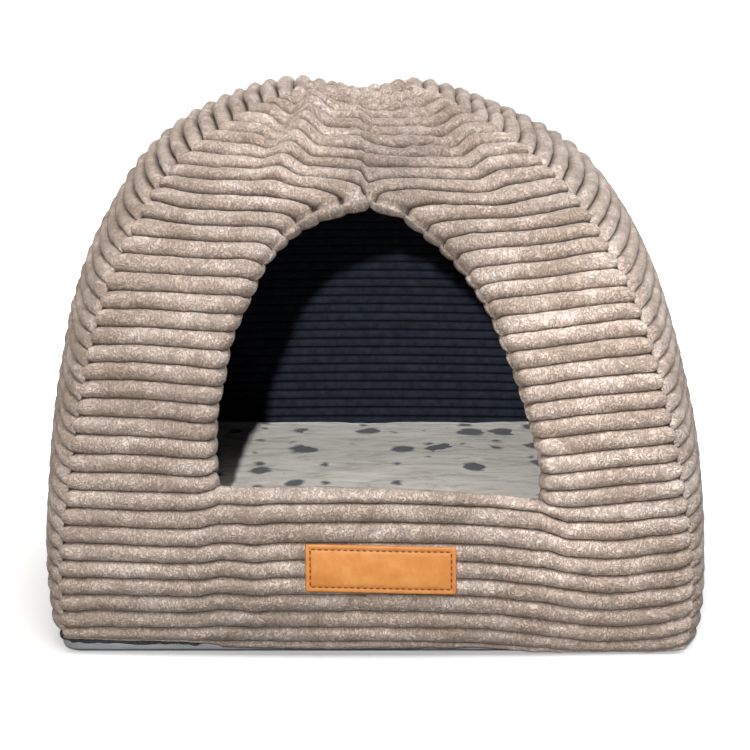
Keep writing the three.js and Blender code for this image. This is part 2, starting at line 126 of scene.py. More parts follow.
# %% Corner seam outside and inside the padding
OUTER = [
    (190, 0), (193.5, 14), (195, 40), (194, 66), (191, 94), (186.5, 124), (181, 153), (174.5, 183),
    (167, 209), (158, 232), (146.5, 254), (134, 274), (118, 291), (101, 304.5), (82, 316), (62, 326),
    (43, 332.5), (27, 333.5), (12, 330), (0, 326)]
INNER = [
    (170, 12.5), (172.5, 40), (171.5, 66), (168.5, 94), (164, 122), (159, 149), (152.5, 176), (145, 200),
    (136, 220), (125, 239.5), (112.5, 256), (97, 271), (79, 284.5), (59, 295.5), (38, 303), (18, 306.5),
    (0, 307)]
SEAM = 0.25  # each panel stops this far before the corner plane
TIP = 1.4  # half width at which a panel ends at the top


def seam_profile(points, samples=600):
    """Spline through the points: half width, height and length along it at many samples."""
    points = np.asarray(points, float)
    n = len(points)
    p = np.linspace(0, n - 1, samples + 1)
    i = np.minimum(p.astype(int), n - 2)
    w = (p - i)[:, None]
    before, here, after, beyond = (points[np.clip(i + k, 0, n - 1)] for k in (-1, 0, 1, 2))
    start, end = (after - before) / 2, (beyond - here) / 2
    line = (2 * here - 2 * after + start + end) * w**3 + (3 * after - 3 * here - 2 * start - end) * w**2
    line = line + start * w + here
    along = np.concatenate([[0], np.cumsum(np.linalg.norm(np.diff(line, axis=0), axis=1))])
    return {"along": along, "half": line[:, 0], "height": line[:, 1], "length": along[-1]}


def seam_at(seam, s):
    """Half width, height and outward direction at length s, from the run and rise over 12 mm."""
    half = through(seam["along"], seam["half"], s)
    height = through(seam["along"], seam["height"], s)
    run = through(seam["along"], seam["half"], s + 6) - through(seam["along"], seam["half"], s - 6)
    rise = through(seam["along"], seam["height"], s + 6) - through(seam["along"], seam["height"], s - 6)
    length = np.hypot(run, rise)
    return half, height, rise / length, -run / length


outer = seam_profile(OUTER)
inner = seam_profile(INNER)
END = outer["length"] - TIP
INNER_END = inner["length"] - TIP
rising = int(np.argmax(inner["height"])) + 1
print(f"corner seam {outer['length']:.1f} mm outside, {inner['length']:.1f} mm inside")

# %% [markdown]
# Cord ribs
# Wide-rib plush is woven with rows of tall pile and bare rows between them. Seen from the end a rib is a
# round flat-topped tube, and the bare row beside it is a narrow dark groove. The rows of the mesh stand
# close together at each groove, where the surface turns fast, and further apart on the rib.

# %% Rib counts, rib sizes and the section of a rib
SILL_RIB = 10  # rib at the top of the sill
APEX_RIB = 29  # rib at the point of the door arch
LAST_RIB = 45  # rib at the tip of the front panel
SIDE_RIBS = 41  # ribs on the other panels
GROOVE_DEPTH = 6.2  # how far a groove lies below the top of its rib
CREST = 8.8  # how far a rib stands out from the seam
TIP_LENGTH = 6.5  # length over which a rib rounds off at its end
RIB_STEPS = [0, 0.025, 0.065, 0.13, 0.23, 0.38, 0.6, 0.77, 0.87, 0.935, 0.975]


def rib_rows(first, last):
    """Rib numbers of the mesh rows: every whole rib split at RIB_STEPS, up to the last one."""
    whole = np.arange(first, last)[:, None] + np.asarray(RIB_STEPS)
    return np.append(whole.ravel(), last)


def rib_section(rib, room=1e3):
    """Section of a rib, 0 in the groove and 1 on top. With c from 1 in the groove to 0 on top, and m from 1
    at the rib's end to 0 a tip length from it, the radius r is (c to the power 2.4 plus m to the power 2.4)
    to the power 1/2.4, and the height is the root of 1 minus r to the power 2.3. So a rib ends like a
    fingertip."""
    c = np.abs(2 * (rib - np.floor(rib)) - 1)
    m = np.clip(1 - room / TIP_LENGTH, 0, 1)
    r = np.minimum(1, (c**2.4 + m**2.4) ** (1 / 2.4))
    return (1 - r**2.3) ** 0.5


print(f"{LAST_RIB} ribs up the front, {SIDE_RIBS} up the other panels, {len(RIB_STEPS)} rows of points each")

# %% [markdown]
# Groove lines of the front
# The groove lines are not straight on a sewn tent: they bend round the door and sag in the slack cloth
# above it. So each line is given by its length up the cloth at fifteen places across the front, as measured
# in the photograph with a tape would be. The place across counts 0 at the left seam, 1 and 2 at the door
# edges and 3 at the right seam.

# %% Groove lines of the front panel
LINE_RIBS = [0, 1, 2, 3, 5, 7, 9, 10, 11, 13, 16, 20, 22, 24, 26, 27, 28, 29, 30, 31, 33, 35, 38, 41, 45]
LINES = {
    0.0: [11, 12, 18, 28.4, 49.7, 71.3, 93.1, 104.5, 114.8, 138, 171, 215, 238, 262, 286, 295, 303.5,
          313, 324, 334, 354, 376, 400, 419, 438],
    0.3: [10.6, 11.6, 19.2, 30, 50.5, 71.5, 92.5, 103.7, 114.9, 137.3, 171.2, 213.8, 235.4, 257, 276.6, 286,
          294.8, 303.5, 313.5, 323.5, 344.5, 368.5, 393, 415, 438],
    0.6: [9.8, 10.9, 19.3, 29.7, 50.4, 70.9, 92.1, 103.2, 114.2, 136.2, 169.6, 211.7, 232.6, 253.3, 273.1,
          282.4, 291.6, 300, 309.8, 319.5, 341.5, 362.5, 388, 412, 438],
    0.85: [9.4, 10.8, 20, 30.2, 50.7, 70.6, 92.5, 103, 112.9, 134.3, 167.4, 210.1, 231.5, 252, 270.8, 278.3,
          286.5, 295.5, 306.8, 316, 341, 362, 387, 411, 438],
    0.96: [7, 10.4, 20.8, 31.6, 52.3, 72.6, 95.2, 104.7, 113.6, 134.2, 166.6, 209.8, 230.2, 249.6, 266,
          273.2, 280.3, 289.2, 303, 313.5, 338.5, 361, 385, 409, 438],
    1.0: [5, 10.4, 21.2, 32, 52.9, 73.2, 96.3, 106.6, 115.2, 134.8, 167.2, 210.8, 230.7, 248.5, 261.9, 268,
          272.8, 277.6, 292, 307.5, 334, 357, 382, 407, 438],
    1.5: [3, 10.4, 21.2, 32.2, 53.3, 74, 97.5, 106, 113, 131, 162, 204, 223.6, 241, 256.4, 263.5, 271,
          277.6, 292, 307.5, 334, 357, 382, 407, 438],
    1.8: [4.8, 8.6, 19.7, 30.4, 52, 72.7, 95.2, 103, 109, 128.4, 157.5, 199, 218.3, 235.4, 252.3, 260.2,
          269.7, 277.6, 292, 307.5, 334, 357, 382, 407, 438],
    2.0: [1, 4.8, 15.3, 26.5, 48.1, 69, 91.6, 98.5, 105, 125.3, 156, 197.3, 216.5, 233.4, 250.9, 259.1,
          269.2, 277.6, 292, 307.5, 334, 357, 382, 407, 438],
    2.06: [0.9, 4, 14.2, 25.3, 47, 68, 89.4, 95.9, 104.2, 124.9, 156.8, 197.8, 217.6, 235.3, 253.3, 262.3,
          273.5, 283, 294.8, 307, 331, 354, 380, 406, 438],
    2.2: [0.8, 2.4, 11.9, 22.8, 44.4, 64.7, 85.2, 94.3, 104.5, 125.8, 158.3, 199.3, 219.6, 238.2, 257.3,
          266.1, 276, 286.5, 296.5, 307.3, 329, 353.5, 380, 407, 438],
    2.5: [0.8, 1.4, 8.8, 19.9, 41.6, 62.8, 85.2, 96.1, 106.6, 128.4, 161.6, 203.2, 223.1, 241.7, 260.5,
          268.9, 276.8, 286.1, 298.3, 309.3, 332.4, 355.6, 384, 410, 438],
    2.75: [0.8, 1.6, 10.3, 21, 43.3, 65.1, 86.7, 97.7, 108.4, 130.5, 163.3, 206.6, 226.5, 246.3, 265, 274.2,
          283.3, 293, 304, 314.8, 335.5, 357, 386, 411, 438],
    2.9: [1.4, 3, 12.5, 23.3, 44.7, 66, 87.7, 98.6, 109.5, 131.5, 164.6, 208.1, 228.3, 249.4, 268.8, 278.5,
          288.4, 298.3, 308.4, 318.8, 338.7, 359.7, 387.2, 412.1, 438],
    3.0: [2.5, 7, 17.4, 27.4, 48.4, 69.9, 89.9, 101.5, 111.9, 132.7, 165.8, 209, 229.5, 251.5, 271.5, 281.5,
          292, 302, 311.5, 321.5, 341, 362, 388, 413, 438],
}
DIP = 1.5  # depth of the dip in the sill beside the left leg


def groove_at(rib, t):
    """Length up the panel at rib number rib and place t across it, where t is 0 and 3 at the seams, 1 and 2
    at the door edges. A small dip lies in the sill just right of the left leg, where the cord was pulled
    down."""
    rib, t = np.broadcast_arrays(rib, t)
    rows = np.stack([through(LINE_RIBS, LINES[place], rib) for place in LINES])
    dip = DIP * hump(t - 1.11, 0.05) * hump(rib - 5.5, 4) * ease(rib, 1, 2)
    return np.minimum(END, through(list(LINES), rows, t) - dip)


print(f"{len(LINE_RIBS)} groove lines at {len(LINES)} places across the front")

# %% [markdown]
# Door edges
# The door is a pointed arch over a flat sill. Every rib of the legs ends at its edge, so the edge is given
# as one place for each rib. The shortest way on the cloth to this edge is needed later, because both the
# rounding of the edge and the round rib ends depend on it.

# %% Door edges and the way to them
DOOR_RIBS = [0, 10, 12, 14, 16, 18, 19, 20, 21, 22, 23, 24, 25, 26, 27, 28, 29, 31, 45]
DOOR_LEFT = [-95, -95.5, -96.3, -95.5, -91, -86, -82, -76.8, -71.2, -66.1, -60.6, -53.1, -45.5, -36.6,
             -24.8, -8.2, 4.3, 5, 0]
DOOR_RIGHT = [99, 101, 101, 97, 92, 85.5, 81.8, 77.8, 74, 69, 64.1, 58.5, 51.7, 43.6, 33.6, 22.2, 4.3, 5, 0]


def door_edges(rib):
    """Sideways place of both door edges at a rib."""
    return through(DOOR_RIBS, DOOR_LEFT, rib), through(DOOR_RIBS, DOOR_RIGHT, rib)


def door_outline():
    """Ends of short straight pieces along the sill top, the left edge and the right edge, as sideways place
    and length up the cloth."""
    ribs = np.linspace(SILL_RIB, APEX_RIB, 96)
    l, r = door_edges(ribs)
    sill = np.linspace(1, 2, 50)
    lines = [np.stack([l[0] + (r[0] - l[0]) * (sill - 1), groove_at(float(SILL_RIB), sill)], -1),
             np.stack([l, groove_at(ribs, 1.0)], -1), np.stack([r, groove_at(ribs, 2.0)], -1)]
    return np.concatenate([line[:-1] for line in lines]), np.concatenate([line[1:] for line in lines])


def from_door(x, s):
    """Shortest distance on the cloth to the door edge. From the start a of a piece with run b, the nearest
    place is at the share (p - a) b / b b of the piece, kept between 0 and 1."""
    first, last = door_outline()
    run = last - first
    nearest = []
    for part in np.array_split(np.stack([np.ravel(x), np.ravel(s)], -1), 40):
        away = part[:, None] - first
        share = np.clip((away * run).sum(-1) / (run**2).sum(-1), 0, 1)
        nearest.append(np.linalg.norm(away - share[..., None] * run, axis=2).min(axis=1))
    return np.concatenate(nearest).reshape(np.shape(x))


narrow, wide = door_edges(float(SILL_RIB))
print(f"door {wide - narrow:.0f} mm wide at the sill")

# %% [markdown]
# Slack cloth and pile
# Above the door the cloth is slack: it sinks between two creases that run up to the tip, with a puffed
# ridge and a valley on the left, and near the tip it is gathered. Pile is never even either. It stands in
# small tufts, and the padding under it is lumpy, so a smooth random field moves the points by less than a
# millimetre. The field has a fixed seed, so the bed comes out the same every time.

# %% Random field
LATTICE = np.random.default_rng(11).uniform(-1, 1, (32, 32, 32, 3))


def unevenness(place, size, channels=1):
    """Smooth random field from -1 to 1: random values at the corners of cubes of the given size in mm,
    blended along each axis with an S-shaped step."""
    cell = np.asarray(place) / size + 7.3
    base = np.floor(cell).astype(int)
    w = ease(cell - base, 0, 1)
    total = 0
    for corner in np.ndindex(2, 2, 2):
        weight = np.prod(np.where(np.array(corner), w, 1 - w), axis=-1)[..., None]
        i, j, k = np.moveaxis((base + corner) % 32, -1, 0)
        total = total + weight * LATTICE[i, j, k, :channels]
    return total if channels > 1 else total[..., 0]


def tousle(places):
    """Moves each point by up to about 0.35 mm in all directions, in lumps of 9 mm and tufts of 3 mm."""
    return places + 0.35 * unevenness(places, 9.0, 3) + 0.22 * unevenness(places + 50, 3.0, 3)


print(f"random field of {LATTICE.shape[0]} cubes a side")

# %% Folds above the door
CREASE_ALONG = [278, 290, 300, 310, 325, 340, 355, 370, 400]
CREASE_LEFT = [-54, -48, -43, -39, -33.5, -29, -25, -22, -14]
CREASE_RIGHT = [88, 83, 79.5, 75, 69, 63, 57, 50, 30]
HOLLOW = [0, 5, 8.5, 10, 11.5, 12, 11, 8, 0]  # how far the cloth sinks between the creases
VALLEY = [0, 1, 2, 3, 6, 8.5, 9, 6, 0]  # and left of the ridge beside the left crease
RIDGE = [0, 1, 2, 2.5, 3, 3, 3, 3, 0]  # height of that ridge
CRUMPLE = 1.8  # height of the random lumps in slack cloth
LOBE = 7  # distance between the gathers near the tip
DENT = 2.5  # depth of the dent between them, in the middle


def folds(x, s):
    """Sum of five forms. Hollow between the two creases. Ridge and valley, bells 7 and 21 mm left of the
    left crease. Crumple, random lumps of 13 mm and of 6 mm where the cloth is slack. Gathers near the tip,
    lobes 7 mm apart made from the absolute value of a sine, with a dent in the middle."""
    l, r, hollow, valley, ridge = (
        through(CREASE_ALONG, table, s) for table in (CREASE_LEFT, CREASE_RIGHT, HOLLOW, VALLEY, RIDGE))
    sunk = ease(x, l - 7, l + 8) * (1 - ease(x, r - 9, r + 9))
    slack = np.maximum(sunk * ease(s, 300, 335), ease(s, 368, 385))
    crumple = unevenness(np.stack([x, 1.6 * s, 0 * x], -1), 13.0) * slack
    crumple = crumple + 0.6 * unevenness(np.stack([x, 1.3 * s, 0 * x + 40], -1), 6.0) * slack
    lobes = 2.0 * (np.abs(np.sin(np.pi * x / LOBE + 0.4 * np.sin(x / 5))) ** 0.7 - 0.6)
    dent = hump(x - 1.5, 8)
    near_tip = ease(s, 362, 386) * (1 - ease(s, 418, 434))
    gathers = near_tip * (lobes * (1 - dent) - DENT * dent)
    bells = ridge * hump(x - l + 7, 8) - valley * hump(x - l + 21, 8)
    return bells - hollow * sunk + CRUMPLE * crumple + gathers


print(f"folds from {CREASE_ALONG[0]} to {CREASE_ALONG[-1]} mm up the front")

# %% [markdown]
# From panel to space
# A point of a panel starts on the corner seam at its length, then stands out by the bulge of the padding,
# the rounding beside the seams and the height of the rib. The same rule inside, without ribs, gives the
# lining side. A panel is worked out facing the front and then turned to its side of the bed, and the whole
# tent leans a little to its left towards the top, as in the photograph.

# %% Bulge and lean of the panels
BULGE_ALONG = [0, 20, 60, 120, 180, 240, 285, 330, 370, 410, 440]
BULGE = {
    "front": [0, 8, 16, 18, 18, 16, 14.7, 10, 4, -1.5, 0],
    "right": [4, 10, 15, 19, 18.5, 18, 16.5, 7.5, 2, 0, 0],
    "back": [4, 10, 15, 19, 19, 16.5, 12.5, 8, -3, -9, 0],
    "left": [4, 10, 15, 19.5, 20, 17, 14.3, 11.5, 7, 1.5, 0],
}
TURNS = {"front": 0, "right": 1, "back": 2, "left": 3}
LEAN_HEIGHT = [0, 100, 150, 200, 240, 280, 310, 340]
LEAN_SHIFT = [0.5, -0.5, -1.8, -3.5, -6, -8.5, -11, -12]
print("bulge of the padding at its fullest:", {side: max(table) for side, table in BULGE.items()})

# %% Points on the cord side and on the inside of a panel
ROUND = {"front": 9, "right": 26, "back": 9, "left": 26}  # width of the rounding beside a seam
OVERHANG = 5  # how far rib ends lean over the seam on the front and back
LEAN_WIDTH = 12  # width beside the seam over which they lean
LEAN_PEAK = 0.286  # greatest value of the root of e times (1 - e) squared, which shapes the lean
JAMB = 9  # radius of the rounded door edge
TIP_ROUND = 45  # length below the tip over which the padding thins out


def cord_side(x, s, section, gap, side):
    """Place of a point x across and s up: (x, -(half + out times lift), height + up times lift), where lift
    is bulge(1 - u squared) + padding(crest - groove depth(1 - section)), less the rounding of the door
    edge. Grooves get half as deep again from 240 to 310 mm up. On the front and back the rib ends lean over
    the seam."""
    half, height, out, up = seam_at(outer, s)
    up = up * ease(s, 0, 30)
    u = np.clip(x / (half - SEAM), -1, 1)
    room = (1 - np.abs(u)) * half
    tip = arc((s - outer["length"] + TIP_ROUND) / TIP_ROUND)
    padding = arc(1 - room / ROUND[side]) * tip
    swell = 0.7 * unevenness(np.stack([x, s, 0 * x + 90 * TURNS[side]], -1), 38.0)
    lift = through(BULGE_ALONG, BULGE[side], s) * (1 - u * u)
    groove = GROOVE_DEPTH * (1 + 0.5 * ease(s, 240, 310)) * (1 - section)
    lift = lift + padding * (CREST + swell - groove)
    if side == "front":
        lift = lift + folds(x, s) * ease(1 - np.abs(u), 0, 0.12) - JAMB * (1 - arc(1 - gap / JAMB))
    if side in ("front", "back"):
        e = np.clip(room / LEAN_WIDTH, 0, 1)
        lean = OVERHANG * np.sqrt(e) * (1 - e) ** 2 / LEAN_PEAK
        x = x + np.sign(x) * lean * section * tip * ease(half, 25, 60)
    return np.stack([x, -(half + out * lift), np.maximum(0.8, height + up * lift)], -1)


def lining_side(x, s, depth, side):
    """Place of a point x across and s up the inside of the padding, depth further in."""
    half, height, out, up = seam_at(inner, s)
    a = half - out * depth
    u = np.clip(x / (a - SEAM), -1, 1)
    lift = 0.5 * through(BULGE_ALONG, BULGE[side], s * outer["length"] / inner["length"]) * (1 - u * u)
    return np.stack([x, -(a + out * lift), height - up * depth + up * lift], -1)


def lining_half(s, depth):
    """Half the width of the inside at length s, depth further in."""
    half, _, out, _ = seam_at(inner, s)
    return half - out * depth - SEAM


def place_panel(points, turn):
    """Turns points about the upright axis by a number of quarter turns, then leans them."""
    x, y, z = np.moveaxis(points, -1, 0)
    c, s = [(1, 0), (0, 1), (-1, 0), (0, -1)][turn]
    return np.stack([c * x - s * y + through(LEAN_HEIGHT, LEAN_SHIFT, z), s * x + c * y, z], -1)


print(f"the inside is {2 * lining_half(0.0, 0.0):.0f} mm wide at the hem")


# %% [markdown]
# From grids to meshes
# A padded panel is a flattened tube: rows climb the panel and columns run round it, across the cord, over
# one edge, back along the inside and over the other edge. So most of it is one grid whose last column meets
# the first. The tube is closed at the hem and at the tip by bands that join an edge with many points to one
# with few.

# %% Faces of grids and bands, and the mesh made of them
def grid_faces(shape, start=0, flip=False):
    """Four corners for each cell of a grid of points that are counted row by row from start."""
    index = start + np.arange(shape[0] * shape[1]).reshape(shape[:2])
    faces = np.stack([index[:-1, :-1], index[:-1, 1:], index[1:, 1:], index[1:, :-1]], -1).reshape(-1, 4)
    return faces[:, ::-1] if flip else faces


def band_faces(long, short, flip=False):
    """Triangles between an edge of k times n steps and one of n steps, both given as point numbers. Each
    long step goes to the nearest short point, and each short step to the long point where that changes."""
    k = (len(long) - 1) // (len(short) - 1)
    j = np.arange(len(long) - 1)
    i = np.arange(len(short) - 1)
    fans = np.stack([long[j], long[j + 1], short[(j + k // 2) // k]], -1)
    gaps = np.stack([short[i], long[(i + 1) * k - k // 2], short[i + 1]], -1)
    faces = np.concatenate([fans, gaps])
    return faces[:, ::-1] if flip else faces


def make_piece(name, grids, bands=(), turn=0, rough=True, material=None, pile=0.0):
    """One mesh from grids of points with their cloth coordinates, and from bands between listed edges,
    whose third cloth coordinate is pile."""
    places, cloth, faces = [], [], []
    count = 0
    for points, lie, flip in grids:
        faces += grid_faces(points.shape, count, flip).tolist()
        places.append(points.reshape(-1, 3))
        cloth.append(lie.reshape(-1, 3))
        count += points.shape[0] * points.shape[1]
    for long, short, flip in bands:
        edges = count + np.arange(len(long)), count + len(long) + np.arange(len(short))
        faces += band_faces(*edges, flip).tolist()
        places += [long, short]
        cloth += [np.zeros_like(long) + [0, 0, pile], np.zeros_like(short) + [0, 0, pile]]
        count += len(long) + len(short)
    points = place_panel(np.concatenate(places), turn)
    if rough:
        points = tousle(points)
    mesh = bpy.data.meshes.new(name)
    mesh.from_pydata(points * MM, [], faces)
    lie = mesh.attributes.new("lie", "FLOAT_VECTOR", "POINT")
    lie.data.foreach_set("vector", np.concatenate(cloth).ravel())
    merged = bmesh.new()
    merged.from_mesh(mesh)
    bmesh.ops.remove_doubles(merged, verts=merged.verts, dist=0.005 * MM)
    open_edges = sum(not edge.is_manifold for edge in merged.edges)
    merged.to_mesh(mesh)
    merged.free()
    mesh.shade_smooth()
    piece = bpy.data.objects.new(name, mesh)
    scene.collection.objects.link(piece)
    if material:
        mesh.materials.append(material)
    print(f"{name}: {len(mesh.vertices)} points, {len(mesh.polygons)} faces, {open_edges} open edges")
    return piece


def lie_of(along, up, section):
    """Cloth coordinates that ride with the surface: metres along the rib, metres up, and 0 to 1 from groove
    to rib top. Beside the rib tops the last is up to 0.2 lower above 230 mm, so the grooves there get more
    painted shade and look darker."""
    along, up, section = np.broadcast_arrays(along, up, section)
    # Painted shade: high on the crown the grooves take more of the dark groove colour.
    section = section - 0.2 * ease(up, 230, 300) * (section < 0.999)
    return np.stack([along * MM, up * MM, section], -1)


# %% [markdown]
# Materials
# One function turns a colour, given as a web colour, into the linear light that a renderer adds up.
# One function adds a node, sets it and links it, so each finish below reads as a list of what its look is
# made of.

# %% Colour and node helpers
def linear(hex_colour):
    """sRGB to linear: c / 12.92 up to 0.04045, and ((c + 0.055) / 1.055) to the power 2.4 above it."""
    c = np.array([int(hex_colour[i:i + 2], 16) for i in (1, 3, 5)]) / 255
    light = np.where(c <= 0.04045, c / 12.92, ((c + 0.055) / 1.055) ** 2.4)
    return (*light.tolist(), 1.0)


def add(tree, kind, links=(), **settings):
    """Adds one node and sets its settings. links gives pairs of a socket and what goes into it, which is
    another node's output or a plain value."""
    node = tree.nodes.new("ShaderNode" + kind)
    for name, value in settings.items():
        setattr(node, name, value)
    for socket, value in links:
        if isinstance(value, bpy.types.NodeSocket):
            tree.links.new(value, node.inputs[socket])
        else:
            node.inputs[socket].default_value = value
    return node


def new_material(name):
    """Empty material with its output node."""
    material = bpy.data.materials.new(name)
    material.use_nodes = True
    material.node_tree.nodes.clear()
    return material, material.node_tree, add(material.node_tree, "OutputMaterial")


def ramp(tree, factor, stops):
    """Colour ramp through (position, colour) stops."""
    node = add(tree, "ValToRGB", [("Fac", factor)])
    while len(node.color_ramp.elements) < len(stops):
        node.color_ramp.elements.new(0.5)
    for element, (position, colour) in zip(node.color_ramp.elements, stops):
        element.position = position
        element.color = colour
    return node.outputs["Color"]


def grey(value):
    """Neutral colour of one linear value, which may be above 1 where it brightens another colour."""
    return (value, value, value, 1.0)


print("white in linear light:", linear("#FFFFFF"))

# %% [markdown]
# Wide-rib plush
# The cover is polyester plush: dense short pile that scatters light and shines a little at a glancing
# angle, so it is rough, with a soft sheen. Stroking it lays the pile over in patches, which come out
# lighter or darker by a third. A few broad soft marks on the front are partly pile laid over and partly
# painted light and painted shade: lighter on the right leg, darker in the hollow above the door. Close up
# it is a mat of combed tufts a millimetre or two long, with painted shade between them. The bare groove
# between two ribs shows the darker ground, painted darker still as the shade it holds.

# %% Finish of the cord plush
# Soft marks on the front: pile laid over, and also painted light on the right leg and painted shade in the
# hollow above the door.
PILE_AND_LIGHT_MARKS = [
    (128, 175, 80, 125, 0.38), (128, 40, 80, 60, 0.3), (-66, 300, 60, 40, 0.18), (12, 305, 44, 30, -0.22),
    (75, 290, 45, 40, 0.12), (-112, 230, 60, 60, 0.12), (-124, 56, 26, 20, 0.12), (-64, 57, 22, 22, 0.16),
    (-110, 30, 80, 50, -0.1), (10, 25, 60, 22, 0.2)]


def pile_and_light_marks(tree, place):
    """Factor on the colour of the front, partly pile laid over and partly painted light and painted shade: 1
    plus a soft oval for every mark, given as x, height, two half widths in mm and strength. It is nought on
    the back half and comes in from 50 to 110 mm in front of the middle."""
    total = 0.0
    for x, z, wide, tall, strength in PILE_AND_LIGHT_MARKS:
        oval = add(tree, "Mapping", [("Vector", place), ("Scale", (1000 / wide, 0, 1000 / tall)),
                                     ("Location", (-x / wide, 0, -z / tall))])
        far = add(tree, "VectorMath", [(0, oval.outputs[0])], operation="LENGTH")
        mark = add(tree, "MapRange", [("Value", far.outputs["Value"]), ("From Min", 1.15), ("From Max", 0.35),
                                      ("To Min", 0.0), ("To Max", strength)], interpolation_type="SMOOTHSTEP")
        total = add(tree, "Math", [(0, mark.outputs[0]), (1, total)]).outputs[0]
    depth = add(tree, "SeparateXYZ", [("Vector", place)])
    front = add(tree, "MapRange", [("Value", depth.outputs["Y"]), ("From Min", -0.05), ("From Max", -0.11)])
    shown = add(tree, "Math", [(0, total), (1, front.outputs[0])], operation="MULTIPLY")
    return add(tree, "Math", [(0, shown.outputs[0]), (1, 1.0)]).outputs[0]


def plush():
    """Taupe plush: combed tufts about 1 by 2.5 mm whose lie wanders, with painted shade between them, stroked
    patches of 16 by 34 mm, a darker ground in the grooves painted darker still as shade, and soft marks of
    pile laid over that are partly painted light and painted shade."""
    material, tree, output = new_material("polyester_cord_plush")
    lie = add(tree, "Attribute", attribute_name="lie")
    split = add(tree, "SeparateXYZ", [("Vector", lie.outputs["Vector"])])
    place = add(tree, "TexCoord").outputs["Object"]
    stretched = add(tree, "Mapping", [("Vector", lie.outputs["Vector"]), ("Scale", (30, 62, 0.3))])
    patches = add(tree, "TexNoise", [("Vector", stretched.outputs[0]), ("Scale", 1.0), ("Detail", 4.0),
                                     ("Roughness", 0.6), ("Distortion", 0.5)])
    tone = ramp(tree, patches.outputs["Fac"], [
        (0.32, linear("#AF9A89")), (0.46, linear("#C3AE9F")),
        (0.58, linear("#D5C1B3")), (0.70, linear("#EAD9CC"))])
    bend = add(tree, "TexNoise", [("Vector", place), ("Scale", 130.0), ("Detail", 1.0)])
    bend = add(tree, "VectorMath", [(0, bend.outputs["Color"]), (1, (0.5, 0.5, 0.5))], operation="SUBTRACT")
    bend = add(tree, "VectorMath", [(0, bend.outputs[0]), (1, (0.010, 0.005, 0.0))], operation="MULTIPLY")
    bent = add(tree, "VectorMath", [(0, lie.outputs["Vector"]), (1, bend.outputs[0])], operation="ADD")
    combed = add(tree, "Mapping", [("Vector", bent.outputs[0]), ("Scale", (850.0, 400.0, 1.5))])
    curls = add(tree, "TexNoise", [("Vector", combed.outputs[0]), ("Scale", 1.0), ("Detail", 2.0),
                                   ("Roughness", 0.6), ("Distortion", 0.5)])
    middle = add(tree, "Math", [(0, curls.outputs["Fac"]), (1, 0.5)], operation="SUBTRACT")
    ridge = add(tree, "Math", [(0, middle.outputs[0])], operation="ABSOLUTE")
    tuft = add(tree, "MapRange", [("Value", ridge.outputs[0]), ("From Min", 0.0), ("From Max", 0.07)])
    grain = add(tree, "TexNoise", [("Vector", place), ("Scale", 800.0), ("Detail", 1.0)])
    shade = add(tree, "Math", [(0, tuft.outputs[0]), (1, grain.outputs["Fac"])], operation="MULTIPLY")
    # Tufts vary in tone, and the small shadows between them are painted in as painted shade.
    tuft_tone_and_shade = ramp(tree, shade.outputs[0], [
        (0.0, grey(0.62)), (0.12, grey(0.78)), (0.3, grey(0.95)), (0.5, grey(1.05)), (0.8, grey(1.09))])
    piled = add(tree, "Mix", [(0, 1.0), (6, tone), (7, tuft_tone_and_shade)], data_type="RGBA", blend_type="MULTIPLY")
    # Painted light and painted shade, together with the pile's own lighter and darker patches, scale the colour
    # here.
    pile_and_light = pile_and_light_marks(tree, place)
    piled = add(tree, "VectorMath", [(0, piled.outputs[2]), ("Scale", pile_and_light)], operation="SCALE")
    # Dark groove colour: the bare ground weave, painted darker still as the shade that the groove holds.
    ground = add(tree, "MapRange", [("Value", split.outputs["Z"]), ("From Min", 0.05), ("From Max", 0.62),
                                    ("To Min", 1.0), ("To Max", 0.0)])
    colour = add(tree, "Mix", [(0, ground.outputs[0]), (6, piled.outputs[0]), (7, linear("#413026"))],
                 data_type="RGBA")
    lumps = add(tree, "TexNoise", [("Vector", place), ("Scale", 210.0), ("Detail", 2.0), ("Roughness", 0.6),
                                   ("Distortion", 1.2)])
    low = add(tree, "Bump", [("Height", lumps.outputs["Fac"]), ("Strength", 0.5), ("Distance", 0.0014)])
    bump = add(tree, "Bump", [("Height", shade.outputs[0]), ("Strength", 1.0), ("Distance", 0.0012),
                              ("Normal", low.outputs[0])])
    shader = add(tree, "BsdfPrincipled", [
        ("Base Color", colour.outputs[2]), ("Roughness", 0.95), ("Specular IOR Level", 0.15),
        ("Sheen Weight", 0.35), ("Sheen Roughness", 0.45), ("Sheen Tint", linear("#EFE3DA")),
        ("Normal", bump.outputs[0])])
    tree.links.new(shader.outputs[0], output.inputs["Surface"])
    return material


cord_plush = plush()
print("made", cord_plush.name)

# %% [markdown]
# Front panel
# On the real bed this is one piece of cord plush quilted over a slab of wadding, with the arch cut out and
# the edge turned in. Here the sill is a closed tube of its full width, each leg beside the door is a tube
# whose right or left side is the door edge, and the crown above the arch is a tube again. They share their
# rows, so the pieces meet point to point.

